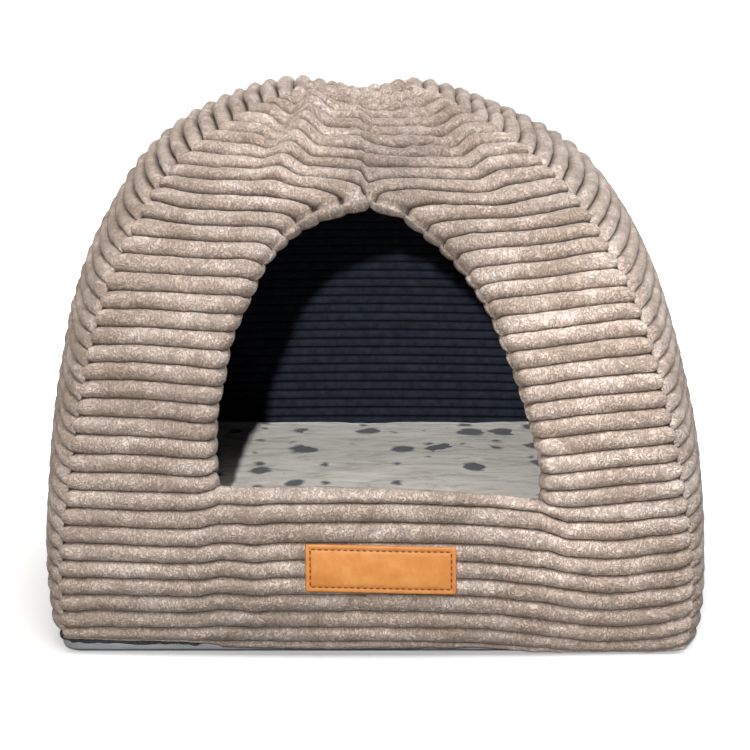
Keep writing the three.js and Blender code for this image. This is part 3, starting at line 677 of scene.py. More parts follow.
# %% Rows, columns and edge sizes of the front panel
SCALLOP = 2.9  # how deep the grooves cut into the door edge
END_PILE = 0.8  # share of the pile that is left on the end of a rib at the door
ROLL_RIBS = [10, 19, 21, 23, 25, 27, 29, 30]
ROLL_LEFT = [0, 0, 0, 0.6, 3, 5, 5, 0]
ROLL_RIGHT = [0, 0.5, 0.8, 1, 1.4, 2.4, 3, 0]
LEG = np.concatenate([
    [0, 0.004, 0.011, 0.021, 0.034, 0.048, 0.064, 0.083, 0.106, 0.133], np.linspace(0.16, 0.84, 43),
    [0.86, 0.88, 0.9, 0.917, 0.932, 0.945, 0.956, 0.966, 0.975, 0.983, 0.99, 0.995, 0.998, 1.0]])
RIGHT_LEG = 3 - LEG[::-1]
ACROSS = np.linspace(1, 2, 100)  # columns between the door edges
COARSE = 11  # cord-side columns for each column of the inside
JAMB_STEPS = np.linspace(0, 1, 10)  # points across the turned-in edge
JAMB_BACK = 3.0  # how far the inside edge of the door is drawn back behind the outer one
SILL_FALL = 11.0  # how much lower the sill is on the inside
HEM_LIP = 4.0  # thickness of the hem that hangs beside the floor slab
WALL_BOTTOM = 12.5  # underside of the wall padding
print(f"front panel: {len(LEG)} columns in each leg and {len(ACROSS)} between them")

# %% [markdown]
# Ribs round the door
# Each rib of a leg is a finger: round at the seam and round again at the door, where its cloth turns in.
# Between the fingers the cut edge is rolled to the inside, which shows as a narrow roll at the top of the
# arch.

# %% Cord side of the front panel
def edge_roll(rib, t):
    """Width of the rolled edge that shows beside the rib ends: none at the sill, widest at the top of the
    arch."""
    return np.where(t < 1.5, through(ROLL_RIBS, ROLL_LEFT, rib), through(ROLL_RIBS, ROLL_RIGHT, rib))


def front_cord(rib, t, scalloped=True):
    """Cord side of the front panel by rib number and place across, with its cloth coordinates."""
    rib, t = np.broadcast_arrays(np.asarray(rib, float), np.asarray(t, float))
    s = groove_at(rib, t)
    half = seam_at(outer, s)[0] - SEAM
    l, r = door_edges(rib)
    x = l + (r - l) * (t - 1)
    x = np.where(t < 1, -half + (l + half) * t, x)
    x = np.where(t > 2, half + (r - half) * (3 - t), x)
    gap = from_door(x, s)
    beside = np.maximum(0, np.maximum(l - x, x - r))
    roll = edge_roll(rib, t)
    in_leg = (rib > SILL_RIB) & (rib < APEX_RIB + 1)
    room = np.minimum(half - np.abs(x), np.where(in_leg, gap - roll, 1e3))
    section = rib_section(rib, room)
    middle = np.clip(np.abs(2 * gap / np.maximum(roll, 0.1) - 1), 0, 1)
    section = np.where(in_leg & (gap < roll), 0.3 + (0.3 + 0.25 * rib_section(rib)) * arc(middle), section)
    at_door = in_leg & (half - np.abs(x) > 20)
    pile = np.where(at_door & (gap < TIP_LENGTH), np.maximum(section, END_PILE * rib_section(rib)), section)
    over_sill = ease(t, 1, 1.06) * (1 - ease(t, 1.94, 2)) * (rib > SILL_RIB - 0.5) * (rib <= SILL_RIB)
    section = section + (1 - section) * over_sill
    tucked = 1 - np.clip((groove_at(1.0, t) - groove_at(0.0, t)) / 6, 0, 1)
    section = np.where(rib < 1, section + (0.7 - section) * tucked, section)
    section = np.where((rib >= 1) & (rib < 1.5), np.maximum(section, 0.7 * tucked), section)
    inward = np.where(t < 1.5, -1.0, 1.0) * scallop(rib) * ease(9 - beside, 0, 9) * (np.abs(t - 1.5) >= 0.5)
    shown = x + (inward if scalloped else 0)
    return cord_side(shown, s, section, gap, "front"), lie_of(x, s, np.maximum(section, pile))


def scallop(rib):
    """How far the door edge draws back at a groove, dying out at the sill and at the point of the arch."""
    free = ease(rib, SILL_RIB, SILL_RIB + 0.5) * (1 - ease(rib, APEX_RIB - 1.2, APEX_RIB))
    return SCALLOP * np.abs(2 * (rib - np.floor(rib)) - 1) ** 3 * free


print(f"scalloped by {SCALLOP} mm at the grooves")

# %% [markdown]
# Inside of the front panel
# Behind the ribs the padding has a smooth inner side, which the lining covers. The cloth that is turned in
# round the door joins the two, a little swollen because there is wadding in it.

# %% Inside and turned-in edge of the front panel
def front_inside(level, t, depth_at=lambda s: 0.0 * s):
    """Inside of the front panel. Level 0 to 1 is the sill, 1 to 2 the legs and 2 to 3 the crown. depth_at
    gives how much further in it lies at each length."""
    level, t = np.broadcast_arrays(np.asarray(level, float), np.asarray(t, float))
    rib = SILL_RIB + (APEX_RIB - SILL_RIB) * np.clip(level - 1, 0, 1)
    side = np.clip(t, 1, 2)
    edge = front_cord(rib, np.where(level < 1, side, np.round(side)), scalloped=False)[0]
    fall = SILL_FALL * (1 - ease(rib, SILL_RIB, SILL_RIB + 3))
    s = through(inner["height"][:rising], inner["along"][:rising], edge[..., 2] - fall)
    s = np.where(level < 1, s * level, s)
    s = np.where(level > 2, s + (INNER_END - s) * (level - 2), s)
    depth = depth_at(s)
    half = lining_half(s, depth)
    back = JAMB_BACK * ease(rib, SILL_RIB, SILL_RIB + 1.5) * (1 - ease(rib, APEX_RIB - 3, APEX_RIB))
    edge_x = edge[..., 0] + np.where(t < 1.5, -1.0, 1.0) * back
    x = np.where(level > 2, edge_x * (3 - level), edge_x)
    x = np.where(t < 1, -half + (x + half) * t, x)
    x = np.where(t > 2, half + (x - half) * (3 - t), x)
    return lining_side(x, s, depth, "front"), lie_of(x, s, 1.0)


def door_jamb(rib, level, t):
    """Cloth turned in round the door: straight from the cord edge to the inside edge, swollen by 1 mm in
    the middle and cut back at every groove."""
    first = front_cord(rib, t, scalloped=False)[0]
    last = front_inside(level, t)[0]
    w = JAMB_STEPS
    edge = first[:, None] + (last - first)[:, None] * w[:, None]
    towards = 1.0 if t == 1 else -1.0
    free = ease(rib, SILL_RIB, SILL_RIB + 1.5) * (1 - ease(rib, APEX_RIB - 1.5, APEX_RIB))
    swell = 1.0 * np.sin(np.pi * w) * free[:, None] - scallop(rib)[:, None] * (1 - w**4)
    edge[..., 0] += towards * swell
    return edge, lie_of(rib[:, None] * 0 + 20 * w, groove_at(rib, t)[:, None], rib_section(rib)[:, None])


print(f"edge drawn back by {JAMB_BACK} mm, sill falling {SILL_FALL} mm to the inside")

# %% [markdown]
# Closing the tubes
# A padded panel is closed all round, as the real one is by its seams. Grids that share an edge are laid
# side by side into one ring, and the hem is closed by a lip and a band.

# %% Joining grids into closed tubes
def join_columns(*parts):
    """Grids side by side, each starting on the last column of the one before."""
    points = np.concatenate([parts[0][0]] + [part[0][:, 1:] for part in parts[1:]], axis=1)
    lies = np.concatenate([parts[0][1]] + [part[1][:, 1:] for part in parts[1:]], axis=1)
    return points, lies


def edge_between(first, last):
    """Two-column grid from the last column of one grid to the first of another."""
    return (np.stack([first[0][:, -1], last[0][:, 0]], 1), np.stack([first[1][:, -1], last[1][:, 0]], 1))


def backwards(grid):
    """The same grid with its columns in the opposite order."""
    return grid[0][:, ::-1], grid[1][:, ::-1]


def tube(face, back):
    """Closed ring of columns: the face, over its right edge, along the back to the left, over the left
    edge."""
    back = backwards(back)
    return join_columns(face, edge_between(face, back), back, edge_between(back, face))


def close_hem(low, pad_low):
    """Closes a panel at the hem: the first cord row moved 4 mm in, raised to the slab top, and a band from
    there to the inside, with a four-cornered end at each seam."""
    hem = low * [1 - HEM_LIP / 190, 1, 1] + [0, HEM_LIP, 0]
    rise = np.maximum(hem, [-1e3, -1e3, WALL_BOTTOM])
    rows = np.stack([rise, hem, low])
    ends = [np.stack([[low[j], pad_low[j]], [hem[j], rise[j]]]) for j in (0, -1)]
    grids = [(rows, False), (ends[0], False), (ends[1], True)]
    return [(points, np.zeros_like(points), flip) for points, flip in grids], [(rise, pad_low, True)]


print(f"hem lip {HEM_LIP} mm thick, closed at {WALL_BOTTOM} mm above the floor")

# %% Front panel
def front_panel():
    """Sill, two legs and crown, with the sill top, the hem and the tip."""
    sill_ribs, leg_ribs, crown_ribs = rib_rows(0, 10), rib_rows(10, 29), rib_rows(29, 45)
    sill_level = sill_ribs / SILL_RIB
    leg_level = 1 + (leg_ribs - SILL_RIB) / (APEX_RIB - SILL_RIB)
    crown_level = 2 + (crown_ribs - APEX_RIB) / (LAST_RIB - APEX_RIB)
    pad_left, pad_across, pad_right = LEG[::COARSE], ACROSS[::COARSE], RIGHT_LEG[::COARSE]
    all_ts = np.concatenate([LEG, ACROSS[1:-1], RIGHT_LEG])
    pad_ts = np.concatenate([pad_left, pad_across[1:-1], pad_right])
    two_legs = np.concatenate([LEG, RIGHT_LEG[1:]])
    pad_legs = np.concatenate([pad_left, pad_right[1:]])

    sill = front_cord(sill_ribs[:, None], all_ts[None])
    sill_back = front_inside(sill_level[:, None], pad_ts[None])
    crown = front_cord(crown_ribs[:, None], two_legs[None])
    crown_back = front_inside(crown_level[:, None], pad_legs[None])
    left = front_cord(leg_ribs[:, None], LEG[None])
    left_back = backwards(front_inside(leg_level[:, None], pad_left[None]))
    left_jamb = door_jamb(leg_ribs, leg_level, 1.0)
    left_ring = join_columns(left, left_jamb, left_back, edge_between(left_back, left))
    right = front_cord(leg_ribs[:, None], RIGHT_LEG[None])
    right_back = backwards(front_inside(leg_level[:, None], pad_right[None]))
    right_jamb = backwards(door_jamb(leg_ribs, leg_level, 2.0))
    right_ring = join_columns(right, edge_between(right, right_back), right_back, right_jamb)
    right_ring[0][:, -1] = right[0][:, 0]

    top_cord = front_cord(np.full(len(ACROSS), float(SILL_RIB)), ACROSS)[0]
    top_pad = front_inside(np.ones(len(ACROSS)), ACROSS)[0]
    w = JAMB_STEPS[:, None, None]
    sill_top = top_cord + (top_pad - top_cord) * w
    sill_top[..., 2] += 2.5 * np.sin(np.pi * JAMB_STEPS)[:, None] * np.sin(np.pi * (ACROSS - 1)) ** 0.5
    top_lie = lie_of(top_cord[:, 0], 105 + 25 * w[..., 0], 1.0)

    hem_grids, hem_bands = close_hem(sill[0][0], sill_back[0][0])
    grids = [(*tube(sill, sill_back), False), (*left_ring, False), (*right_ring, False),
             (*tube(crown, crown_back), False), (sill_top, top_lie, False)] + hem_grids
    bands = hem_bands + [(sill_top[-1], front_inside(np.ones(len(pad_across)), pad_across)[0], False),
                         (crown[0][-1], crown_back[0][-1], False)]
    return make_piece("front_cover", grids, bands, material=cord_plush, pile=1.0)


front_cover = front_panel()
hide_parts("front_panel")
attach(front_cover, "root")

# %% [markdown]
# Side and back panels
# The other three panels are the same cut without a door, so their ribs run straight from seam to seam and
# only wander a little where the cord was pulled over the padding. Their hems hang at slightly different
# heights, so the floor slab shows at one corner only.

# %% Side and back panels
HEM = {"left": [11, 13, 13], "right": [1, 3, 4], "back": [4, 7, 11]}
WAVES = {"left": [1.6, 2.1, 0.4], "right": [1.4, 1.7, 2.2], "back": [1.8, 1.3, 4.0]}
EDGE = np.array([0, 0.002, 0.006, 0.011, 0.017, 0.024, 0.032, 0.042, 0.056])
PLAIN = np.concatenate([-1 + EDGE, np.linspace(-0.93, 0.93, 93), 1 - EDGE[::-1]])
PLAIN_COARSE = PLAIN[::COARSE]


def plain_panel(name, side):
    """Cord side and inside of a panel without a door. Rib lines are even from hem to tip, plus a sine wave
    of the side's size, number of turns and phase, which dies out at the seams, the hem and the tip."""
    ribs = rib_rows(0, SIDE_RIBS)[:, None]
    u = PLAIN[None]
    size, turns, phase = WAVES[side]
    free = ease(ribs, 0, 5) * (1 - ease(ribs, SIDE_RIBS - 8, SIDE_RIBS))
    wave = size * np.sin(turns * 3 * u + ribs * 0.23 + phase) * (1 - u * u) * free
    hem = through([-1, 0, 1], HEM[side], u)
    s = hem + (END - hem) * ribs / SIDE_RIBS + wave
    x = u * (seam_at(outer, s)[0] - SEAM)
    room = (1 - np.abs(u)) * seam_at(outer, s)[0] if side == "back" else 1e3 + 0 * x
    section = rib_section(ribs, room)
    face = (cord_side(x, s, section, 99.0, side), lie_of(x, s, section))
    up = np.linspace(0, INNER_END, len(ribs))[:, None]
    across = PLAIN_COARSE[None] * lining_half(up, 0)
    inside = lining_side(across, np.broadcast_to(up, across.shape), 0.0, side)
    back = (inside, lie_of(across, up, 1.0))
    hem_grids, hem_bands = close_hem(face[0][0], inside[0])
    bands = hem_bands + [(face[0][-1], inside[-1], False)]
    grids = [(*tube(face, back), False)] + hem_grids
    piece = make_piece(name, grids, bands, TURNS[side], material=cord_plush, pile=1.0)
    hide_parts(f"{side}_panel")
    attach(piece, "root")
    return piece


for side in ("right", "back", "left"):
    plain_panel(f"{side}_cover", side)

# %% [markdown]
# Fine-rib lining
# Inside, each panel is faced with thin navy velour whose ribs are about 7 mm wide with a narrow groove
# between them. Through the door one sees it on the back wall, where the light falls. It is a true sheet:
# its back lies just off the padding and its face carries the ribs, and both are joined round the edge.

# %% Finish of the lining
def velour():
    """Navy velour: a soft short nap with a faint mottle of 6 mm and near-black grooves, partly its ground
    and partly painted shade.
    """
    material, tree, output = new_material("navy_rib_velour")
    lie = add(tree, "Attribute", attribute_name="lie")
    split = add(tree, "SeparateXYZ", [("Vector", lie.outputs["Vector"])])
    place = add(tree, "TexCoord").outputs["Object"]
    mottle = add(tree, "TexNoise", [("Vector", place), ("Scale", 160.0), ("Detail", 3.0), ("Roughness", 0.6)])
    tone = ramp(tree, mottle.outputs["Fac"], [(0.3, linear("#252A34")), (0.7, linear("#363D4B"))])
    # Near-black groove colour: partly the velour's ground, partly painted shade in the groove.
    ground = add(tree, "MapRange", [("Value", split.outputs["Z"]), ("From Min", 0.1), ("From Max", 0.95),
                                    ("To Min", 1.0), ("To Max", 0.0)])
    colour = add(tree, "Mix", [(0, ground.outputs[0]), (6, tone), (7, linear("#030406"))], data_type="RGBA")
    nap = add(tree, "TexNoise", [("Vector", place), ("Scale", 700.0), ("Detail", 1.0)])
    bump = add(tree, "Bump", [("Height", nap.outputs["Fac"]), ("Strength", 0.4), ("Distance", 0.0005)])
    shader = add(tree, "BsdfPrincipled", [
        ("Base Color", colour.outputs[2]), ("Roughness", 0.9), ("Specular IOR Level", 0.2),
        ("Sheen Weight", 0.1), ("Sheen Roughness", 0.5), ("Sheen Tint", linear("#7C879C")),
        ("Normal", bump.outputs[0])])
    tree.links.new(shader.outputs[0], output.inputs["Surface"])
    return material


rib_velour = velour()
print("made", rib_velour.name)

# %% Lining sheets
LINING_GAP = 0.35  # the lining hangs this far inside the padding
LINING = 1.6  # thickness of the cloth with its nap
LINING_RELIEF = 1.1  # depth of its grooves
LINING_RIBS = 56
LINING_STEPS = [0, 0.1, 0.22, 0.5, 0.78, 0.9]


def lining_section(rib):
    """Section of a fine rib: flat, with a groove over a fifth of its width at each edge."""
    c = np.abs(2 * (rib - np.floor(rib)) - 1)
    return 1 - ease(c, 0.6, 1.0)


def lining_rows():
    """Rib numbers of the lining's rows."""
    return np.append((np.arange(LINING_RIBS)[:, None] + LINING_STEPS).ravel(), LINING_RIBS)


def face_depth(rib):
    """Depth of the lining's face below the padding: the cloth, and its ribs above the grooves."""
    return LINING_GAP + LINING + LINING_RELIEF * lining_section(rib)


def close_between(lower, upper):
    """Two-row grid from one row of points to another."""
    rows = np.stack([lower, upper])
    return rows, np.zeros_like(rows), False


def plain_lining(name, side):
    """Lining of a panel without a door: back and face grids over the same rows, joined round the edge."""
    ribs = lining_rows()[:, None]
    s = INNER_END * ribs / LINING_RIBS
    u = np.linspace(-1, 1, 41)[None]
    layers = []
    for depth, section in ((np.full_like(ribs, LINING_GAP), 1.0), (face_depth(ribs), lining_section(ribs))):
        x = u * lining_half(s, depth)
        layers.append((lining_side(x, s + 0 * x, depth + 0 * x, side), lie_of(x, s, section)))
    back, face = layers
    ends = [close_between(back[0][-1], face[0][-1]), close_between(face[0][0], back[0][0])]
    return make_piece(name, [(*tube(back, face), False)] + ends, (), TURNS[side], False, rib_velour)


def front_lining():
    """Lining round the door: sill, legs and crown as tubes of back and face, joined at the sill top, the
    hem and the tip. Its ribs follow the length up the panel."""
    leg = np.linspace(0, 1, 15)
    across = np.linspace(1, 2, 31)
    right_leg = 3 - leg[::-1]
    ribs_at = lambda s: s * LINING_RIBS / INNER_END
    depths = [lambda s: LINING_GAP + 0 * s, lambda s: face_depth(ribs_at(s))]
    stretches = {
        "sill": (np.linspace(0, 1, 90), np.concatenate([leg, across[1:-1], right_leg])),
        "left": (np.linspace(1, 2, 150), leg),
        "right": (np.linspace(1, 2, 150), right_leg),
        "crown": (np.linspace(2, 3, 140), np.concatenate([leg, right_leg[1:]])),
    }
    layers = {}
    for name, (levels, ts) in stretches.items():
        pair = [front_inside(levels[:, None], ts[None], depth) for depth in depths]
        pair[1][1][..., 2] = lining_section(ribs_at(pair[1][1][..., 1] / MM))
        layers[name] = pair
    grids = [(*tube(*layers[name]), False) for name in stretches]
    top = slice(len(leg) - 1, len(leg) + len(across) - 1)
    sill, crown = layers["sill"], layers["crown"]
    ends = [close_between(sill[0][0][-1, top], sill[1][0][-1, top]),
            close_between(crown[0][0][-1], crown[1][0][-1]), close_between(sill[1][0][0], sill[0][0][0])]
    return make_piece("front_lining_sheet", grids + ends, (), 0, False, rib_velour)


def declare_lining(piece, node):
    """Works out the inside width at each length, which nothing then uses, hides the model's part that a lining
    sheet stands for and hangs the sheet on the root."""
    s = np.linspace(0, INNER_END, 400)
    width = 2 * lining_half(s, 0)
    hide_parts(node)
    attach(piece, "root")


for side in ("right", "back", "left"):
    declare_lining(plain_lining(f"{side}_lining_sheet", side), f"lining_{side}")
door_ribs = np.linspace(SILL_RIB, APEX_RIB, 60)
door_left, door_right = door_edges(door_ribs)
door_rise = np.diff(groove_at(door_ribs, 1.0))
declare_lining(front_lining(), "lining_front")

# %% [markdown]
# Floor slab
# The tent is zipped to a flat slab: foam in coated polyester cloth, smooth and grey, about 12 mm thick. It
# shows under the front left corner, where the hem rides up. The slab is a stack of rounded-square rings,
# closed by rings that shrink to a point above and below, and its cloth is slightly slack along the edge.

# %% Finish of the slab and the zip
def coated_cloth():
    """Grey coated polyester: a tight 0.6 mm plain weave under a dull coating, faintly streaked along, with
    painted contact shadow as a dark band along the bottom, full below 1 mm and gone by 2.2 mm."""
    material, tree, output = new_material("coated_polyester_cloth")
    place = add(tree, "TexCoord").outputs["Object"]
    stretched = add(tree, "Mapping", [("Vector", place), ("Scale", (25.0, 25.0, 260.0))])
    streaks = add(tree, "TexNoise", [("Vector", stretched.outputs[0]), ("Scale", 1.0), ("Detail", 4.0)])
    tone = ramp(tree, streaks.outputs["Fac"], [(0.3, linear("#7F8284")), (0.7, linear("#B2B4B6"))])
    height = add(tree, "SeparateXYZ", [("Vector", place)])
    # Painted contact shadow: dark along the bottom edge where the slab meets the floor.
    painted_contact_shadow = add(tree, "MapRange", [("Value", height.outputs["Z"]), ("From Min", 0.001), ("From Max", 0.0022),
                                 ("To Min", 1.0), ("To Max", 0.0)])
    colour = add(tree, "Mix", [(0, painted_contact_shadow.outputs[0]), (6, tone), (7, linear("#26282A"))], data_type="RGBA")
    threads = [add(tree, "TexWave", [("Vector", place), ("Scale", 520.0), ("Distortion", 0.4)],
                   bands_direction=direction) for direction in ("X", "Y", "Z")]
    weave = add(tree, "Math", [(0, threads[0].outputs["Fac"]), (1, threads[1].outputs["Fac"])],
                operation="ADD")
    weave = add(tree, "Math", [(0, weave.outputs[0]), (1, threads[2].outputs["Fac"])], operation="ADD")
    bump = add(tree, "Bump", [("Height", weave.outputs[0]), ("Strength", 0.12), ("Distance", 0.0003)])
    shader = add(tree, "BsdfPrincipled", [("Base Color", colour.outputs[2]), ("Roughness", 0.5),
                                          ("Specular IOR Level", 0.4), ("Normal", bump.outputs[0])])
    tree.links.new(shader.outputs[0], output.inputs["Surface"])
    return material


def zip_nylon():
    """Black nylon tape and coil: dull, with a 1 mm twill and a little lint."""
    material, tree, output = new_material("black_nylon_zip")
    place = add(tree, "TexCoord").outputs["Object"]
    lint = add(tree, "TexNoise", [("Vector", place), ("Scale", 450.0), ("Detail", 3.0), ("Roughness", 0.7)])
    tone = ramp(tree, lint.outputs["Fac"], [(0.45, linear("#131416")), (0.75, linear("#34373B"))])
    twill = add(tree, "TexWave", [("Vector", place), ("Scale", 300.0)], bands_direction="DIAGONAL")
    bump = add(tree, "Bump", [("Height", twill.outputs["Fac"]), ("Strength", 0.3), ("Distance", 0.0003)])
    shader = add(tree, "BsdfPrincipled", [("Base Color", tone), ("Roughness", 0.6), ("Specular IOR Level", 0.4),
                                          ("Normal", bump.outputs[0])])
    tree.links.new(shader.outputs[0], output.inputs["Surface"])
    return material


coated_grey = coated_cloth()
black_nylon = zip_nylon()
print("made", coated_grey.name, "and", black_nylon.name)

# %% Floor slab
SLAB = {"half": 191.0, "corner": 30.0, "front_left": 14.0, "top": 12.0}


def rounded_square(half, corner, front_left, inset, arc_steps, side_steps):
    """Outline in plan, anticlockwise from the front left: quarter circles joined by straight sides, all
    `inset` inside the full size. inset has one value for each ring."""
    inset = np.atleast_1d(np.asarray(inset, float))[:, None]
    h = half - inset
    turns = np.linspace(0, 1, arc_steps + 1)[None]
    sides = np.linspace(0, 1, side_steps + 1)[None, 1:-1]
    corners, signs = [], [(-1, -1), (1, -1), (1, 1), (-1, 1)]
    for k, (sx, sy) in enumerate(signs):
        r = np.minimum(np.maximum((front_left if k == 0 else corner) - inset, 2), h)
        angle = np.pi + (k + turns) * np.pi / 2
        corners.append(np.stack([sx * (h - r) + r * np.cos(angle), sy * (h - r) + r * np.sin(angle)], -1))
    parts = []
    for k, arc_points in enumerate(corners):
        following = corners[(k + 1) % 4][:, :1]
        last = arc_points[:, -1:]
        parts += [arc_points, last + (following - last) * sides[..., None]]
    ring = np.concatenate(parts, axis=1)
    return np.concatenate([ring, ring[:, :1]], axis=1)


def reach_out(plan):
    """Moves the slab's edge out by 3 mm along the front and by 6 mm to the left at the front corner."""
    x, y = plan[..., 0], plan[..., 1]
    shift = np.stack([-6 * ease(-x, 150, 185) * ease(-y, 0, 150), -3 * ease(-y, 150, 185)], -1)
    return np.concatenate([plan[..., :2] + shift, plan[..., 2:]], -1)


def stacked_rings(sizes, rows, arc_steps, side_steps):
    """Grid of rings: each row gives its inset and its height, and the first and last shrink to a point."""
    rows = np.asarray(rows, float)
    size = sizes["half"], sizes["corner"], sizes["front_left"]
    plan = rounded_square(*size, rows[:, 0], arc_steps, side_steps)
    plan[0] = plan[-1] = 0
    height = np.broadcast_to(rows[:, 1:2], plan.shape[:2])
    return np.concatenate([plan, height[..., None]], -1)


def floor_slab():
    """Slab with rounded edges, its side swollen by 0.5 mm in lumps of 60 mm."""
    top = SLAB["top"]
    rows = [(191, 0), (120, 0), (50, 0), (12, 0), (4, 0), (2.2, 0.3), (0.9, 1.2), (0.2, 2.6), (0, 4.2),
            (0, 6), (0, 7.8), (0.2, 9.4), (0.9, 10.8), (2.2, 11.7), (4, top), (12, top), (50, top),
            (120, top), (191, top)]
    points = stacked_rings(SLAB, rows, 12, 60)
    side = hump(points[..., 2] - 6, 5)
    slack = 0.5 * unevenness(points, 60.0)
    points[..., :2] *= (1 + (slack * side - 0.2) / 191)[..., None]
    points = reach_out(points)
    return make_piece("floor_slab", [(points, points * MM, False)], (), 0, False, coated_grey)


slab = floor_slab()
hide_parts("base_pad")
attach(slab, "root")

# %% [markdown]
# Zip
# The tent is joined to the slab by a zip that runs round its edge. Only a stretch shows, at the front left
# corner, where the hem is raised, so only that stretch and its run along the left side are made: a flat
# nylon tape that stands on edge against the slab, and the coil of small round teeth sewn on it.

# %% Zip tape and coil
ZIP = {"height": 3.2, "thickness": 1.6, "gap": 0.3, "start": -104.0, "end": 150.0}
COIL_PITCH = 1.7  # a number 5 coil zip has about six turns to the centimetre


def zip_path(gap, spacing):
    """Plan points, sideways direction and height of the tape's top, evenly spaced along the slab's edge: in
    along the front, round the corner and back along the left side. The top keeps 0.6 mm under the hem."""
    half, radius = SLAB["half"] + gap, SLAB["front_left"] + gap
    turn = np.linspace(-np.pi / 2, -np.pi, 25)[1:-1]
    corner = np.stack([radius - half + radius * np.cos(turn), radius - half + radius * np.sin(turn)], -1)
    front = np.array([[ZIP["start"], -half], [radius - half, -half]])
    side = np.array([[-half, radius - half], [-half, ZIP["end"]]])
    line = np.concatenate([front, corner, side])
    along = np.concatenate([[0], np.cumsum(np.linalg.norm(np.diff(line, axis=0), axis=1))])
    want = np.linspace(0, along[-1], int(along[-1] / spacing) + 1)
    points = np.stack([np.interp(want, along, line[:, k]) for k in (0, 1)], -1)
    away = points - np.clip(points, radius - half, None)
    away = np.where(np.linalg.norm(away, axis=1, keepdims=True) > 1e-6, away, [0.0, -1.0])
    away = away / np.linalg.norm(away, axis=1, keepdims=True)
    across = np.clip((points[:, 0] + 190) / 98, 0, 1)
    hem = front_cord(np.zeros(len(points)), across)[0][:, 2]
    hem = np.where(points[:, 1] < 60 - half, hem, 12.4)
    return reach_out(points), away, np.minimum(SLAB["top"] + 0.4, hem - 0.6), want


def zip_tape():
    """Rounded strip: twelve corners round its section, a lower edge frayed by up to 1 mm, and its height
    tapering in over 8 mm at both ends."""
    points, away, top, along = zip_path(ZIP["gap"], 1.5)
    taper = 0.35 + 0.65 * ease(np.minimum(along, along[-1] - along), 0, 8)
    frayed = 1 + 0.3 * unevenness(np.stack([along, 0 * along, 0 * along], -1), 3.5)
    height = (ZIP["height"] * taper * frayed)[:, None]
    turns = np.linspace(0, 2 * np.pi, 13)
    box = lambda v: np.sign(v) * np.abs(v) ** 0.5
    deep = ZIP["thickness"] * (0.5 + 0.5 * box(np.cos(turns)))[None] * 0.7
    lift = top[:, None] - height * (0.5 - 0.5 * box(np.sin(turns)))[None]
    plan = points[:, None] + away[:, None] * deep[..., None]
    tape = np.concatenate([plan, lift[..., None]], -1)
    ends = [np.broadcast_to(tape[j].mean(axis=0), tape[j].shape)[None] for j in (0, -1)]
    closed = np.concatenate([ends[0], tape, ends[1]])
    return make_piece("zip_tape", [(closed, np.zeros_like(closed), True)], (), 0, True, black_nylon)


def zip_coil():
    """Row of small rounded teeth across the tape, one at each turn of the coil."""
    points, away, top, along = zip_path(ZIP["gap"], COIL_PITCH)
    keep = (along > 7) & (along < along[-1] - 7)
    points, away, top = points[keep], away[keep], top[keep]
    v, u = np.meshgrid(np.linspace(-np.pi / 2, np.pi / 2, 6), np.linspace(0, 2 * np.pi, 9), indexing="ij")
    along_tooth, out_tooth = 0.55 * np.cos(v) * np.cos(u), 0.45 * np.cos(v) * np.sin(u)
    up_tooth = 1.15 * np.sin(v)
    beside = np.stack([-away[:, 1], away[:, 0]], -1)
    middle = points + away * (ZIP["thickness"] * 0.7)
    plan = (middle[:, None, None] + beside[:, None, None] * along_tooth[None, ..., None]
            + away[:, None, None] * out_tooth[None, ..., None])
    height = (top - ZIP["height"] / 2)[:, None, None] + up_tooth[None]
    teeth = np.concatenate([plan, height[..., None]], -1)
    grids = [(tooth, np.zeros_like(tooth), False) for tooth in teeth]
    return make_piece("zip_coil", grids, (), 0, False, black_nylon)


for piece in (zip_tape(), zip_coil()):
    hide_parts("zip_strip")
    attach(piece, "root")

# %% [markdown]
# Cushion
# A thick loose cushion fills the floor of the den. Its cover is short-pile fleece in light grey with
# scattered dark slate spots. A stuffed thing gets its look from pressure: so a slightly smaller box cushion
# is remeshed evenly, inflated as cloth for twenty frames with its weight off, kept from moving too far and
# smoothed.

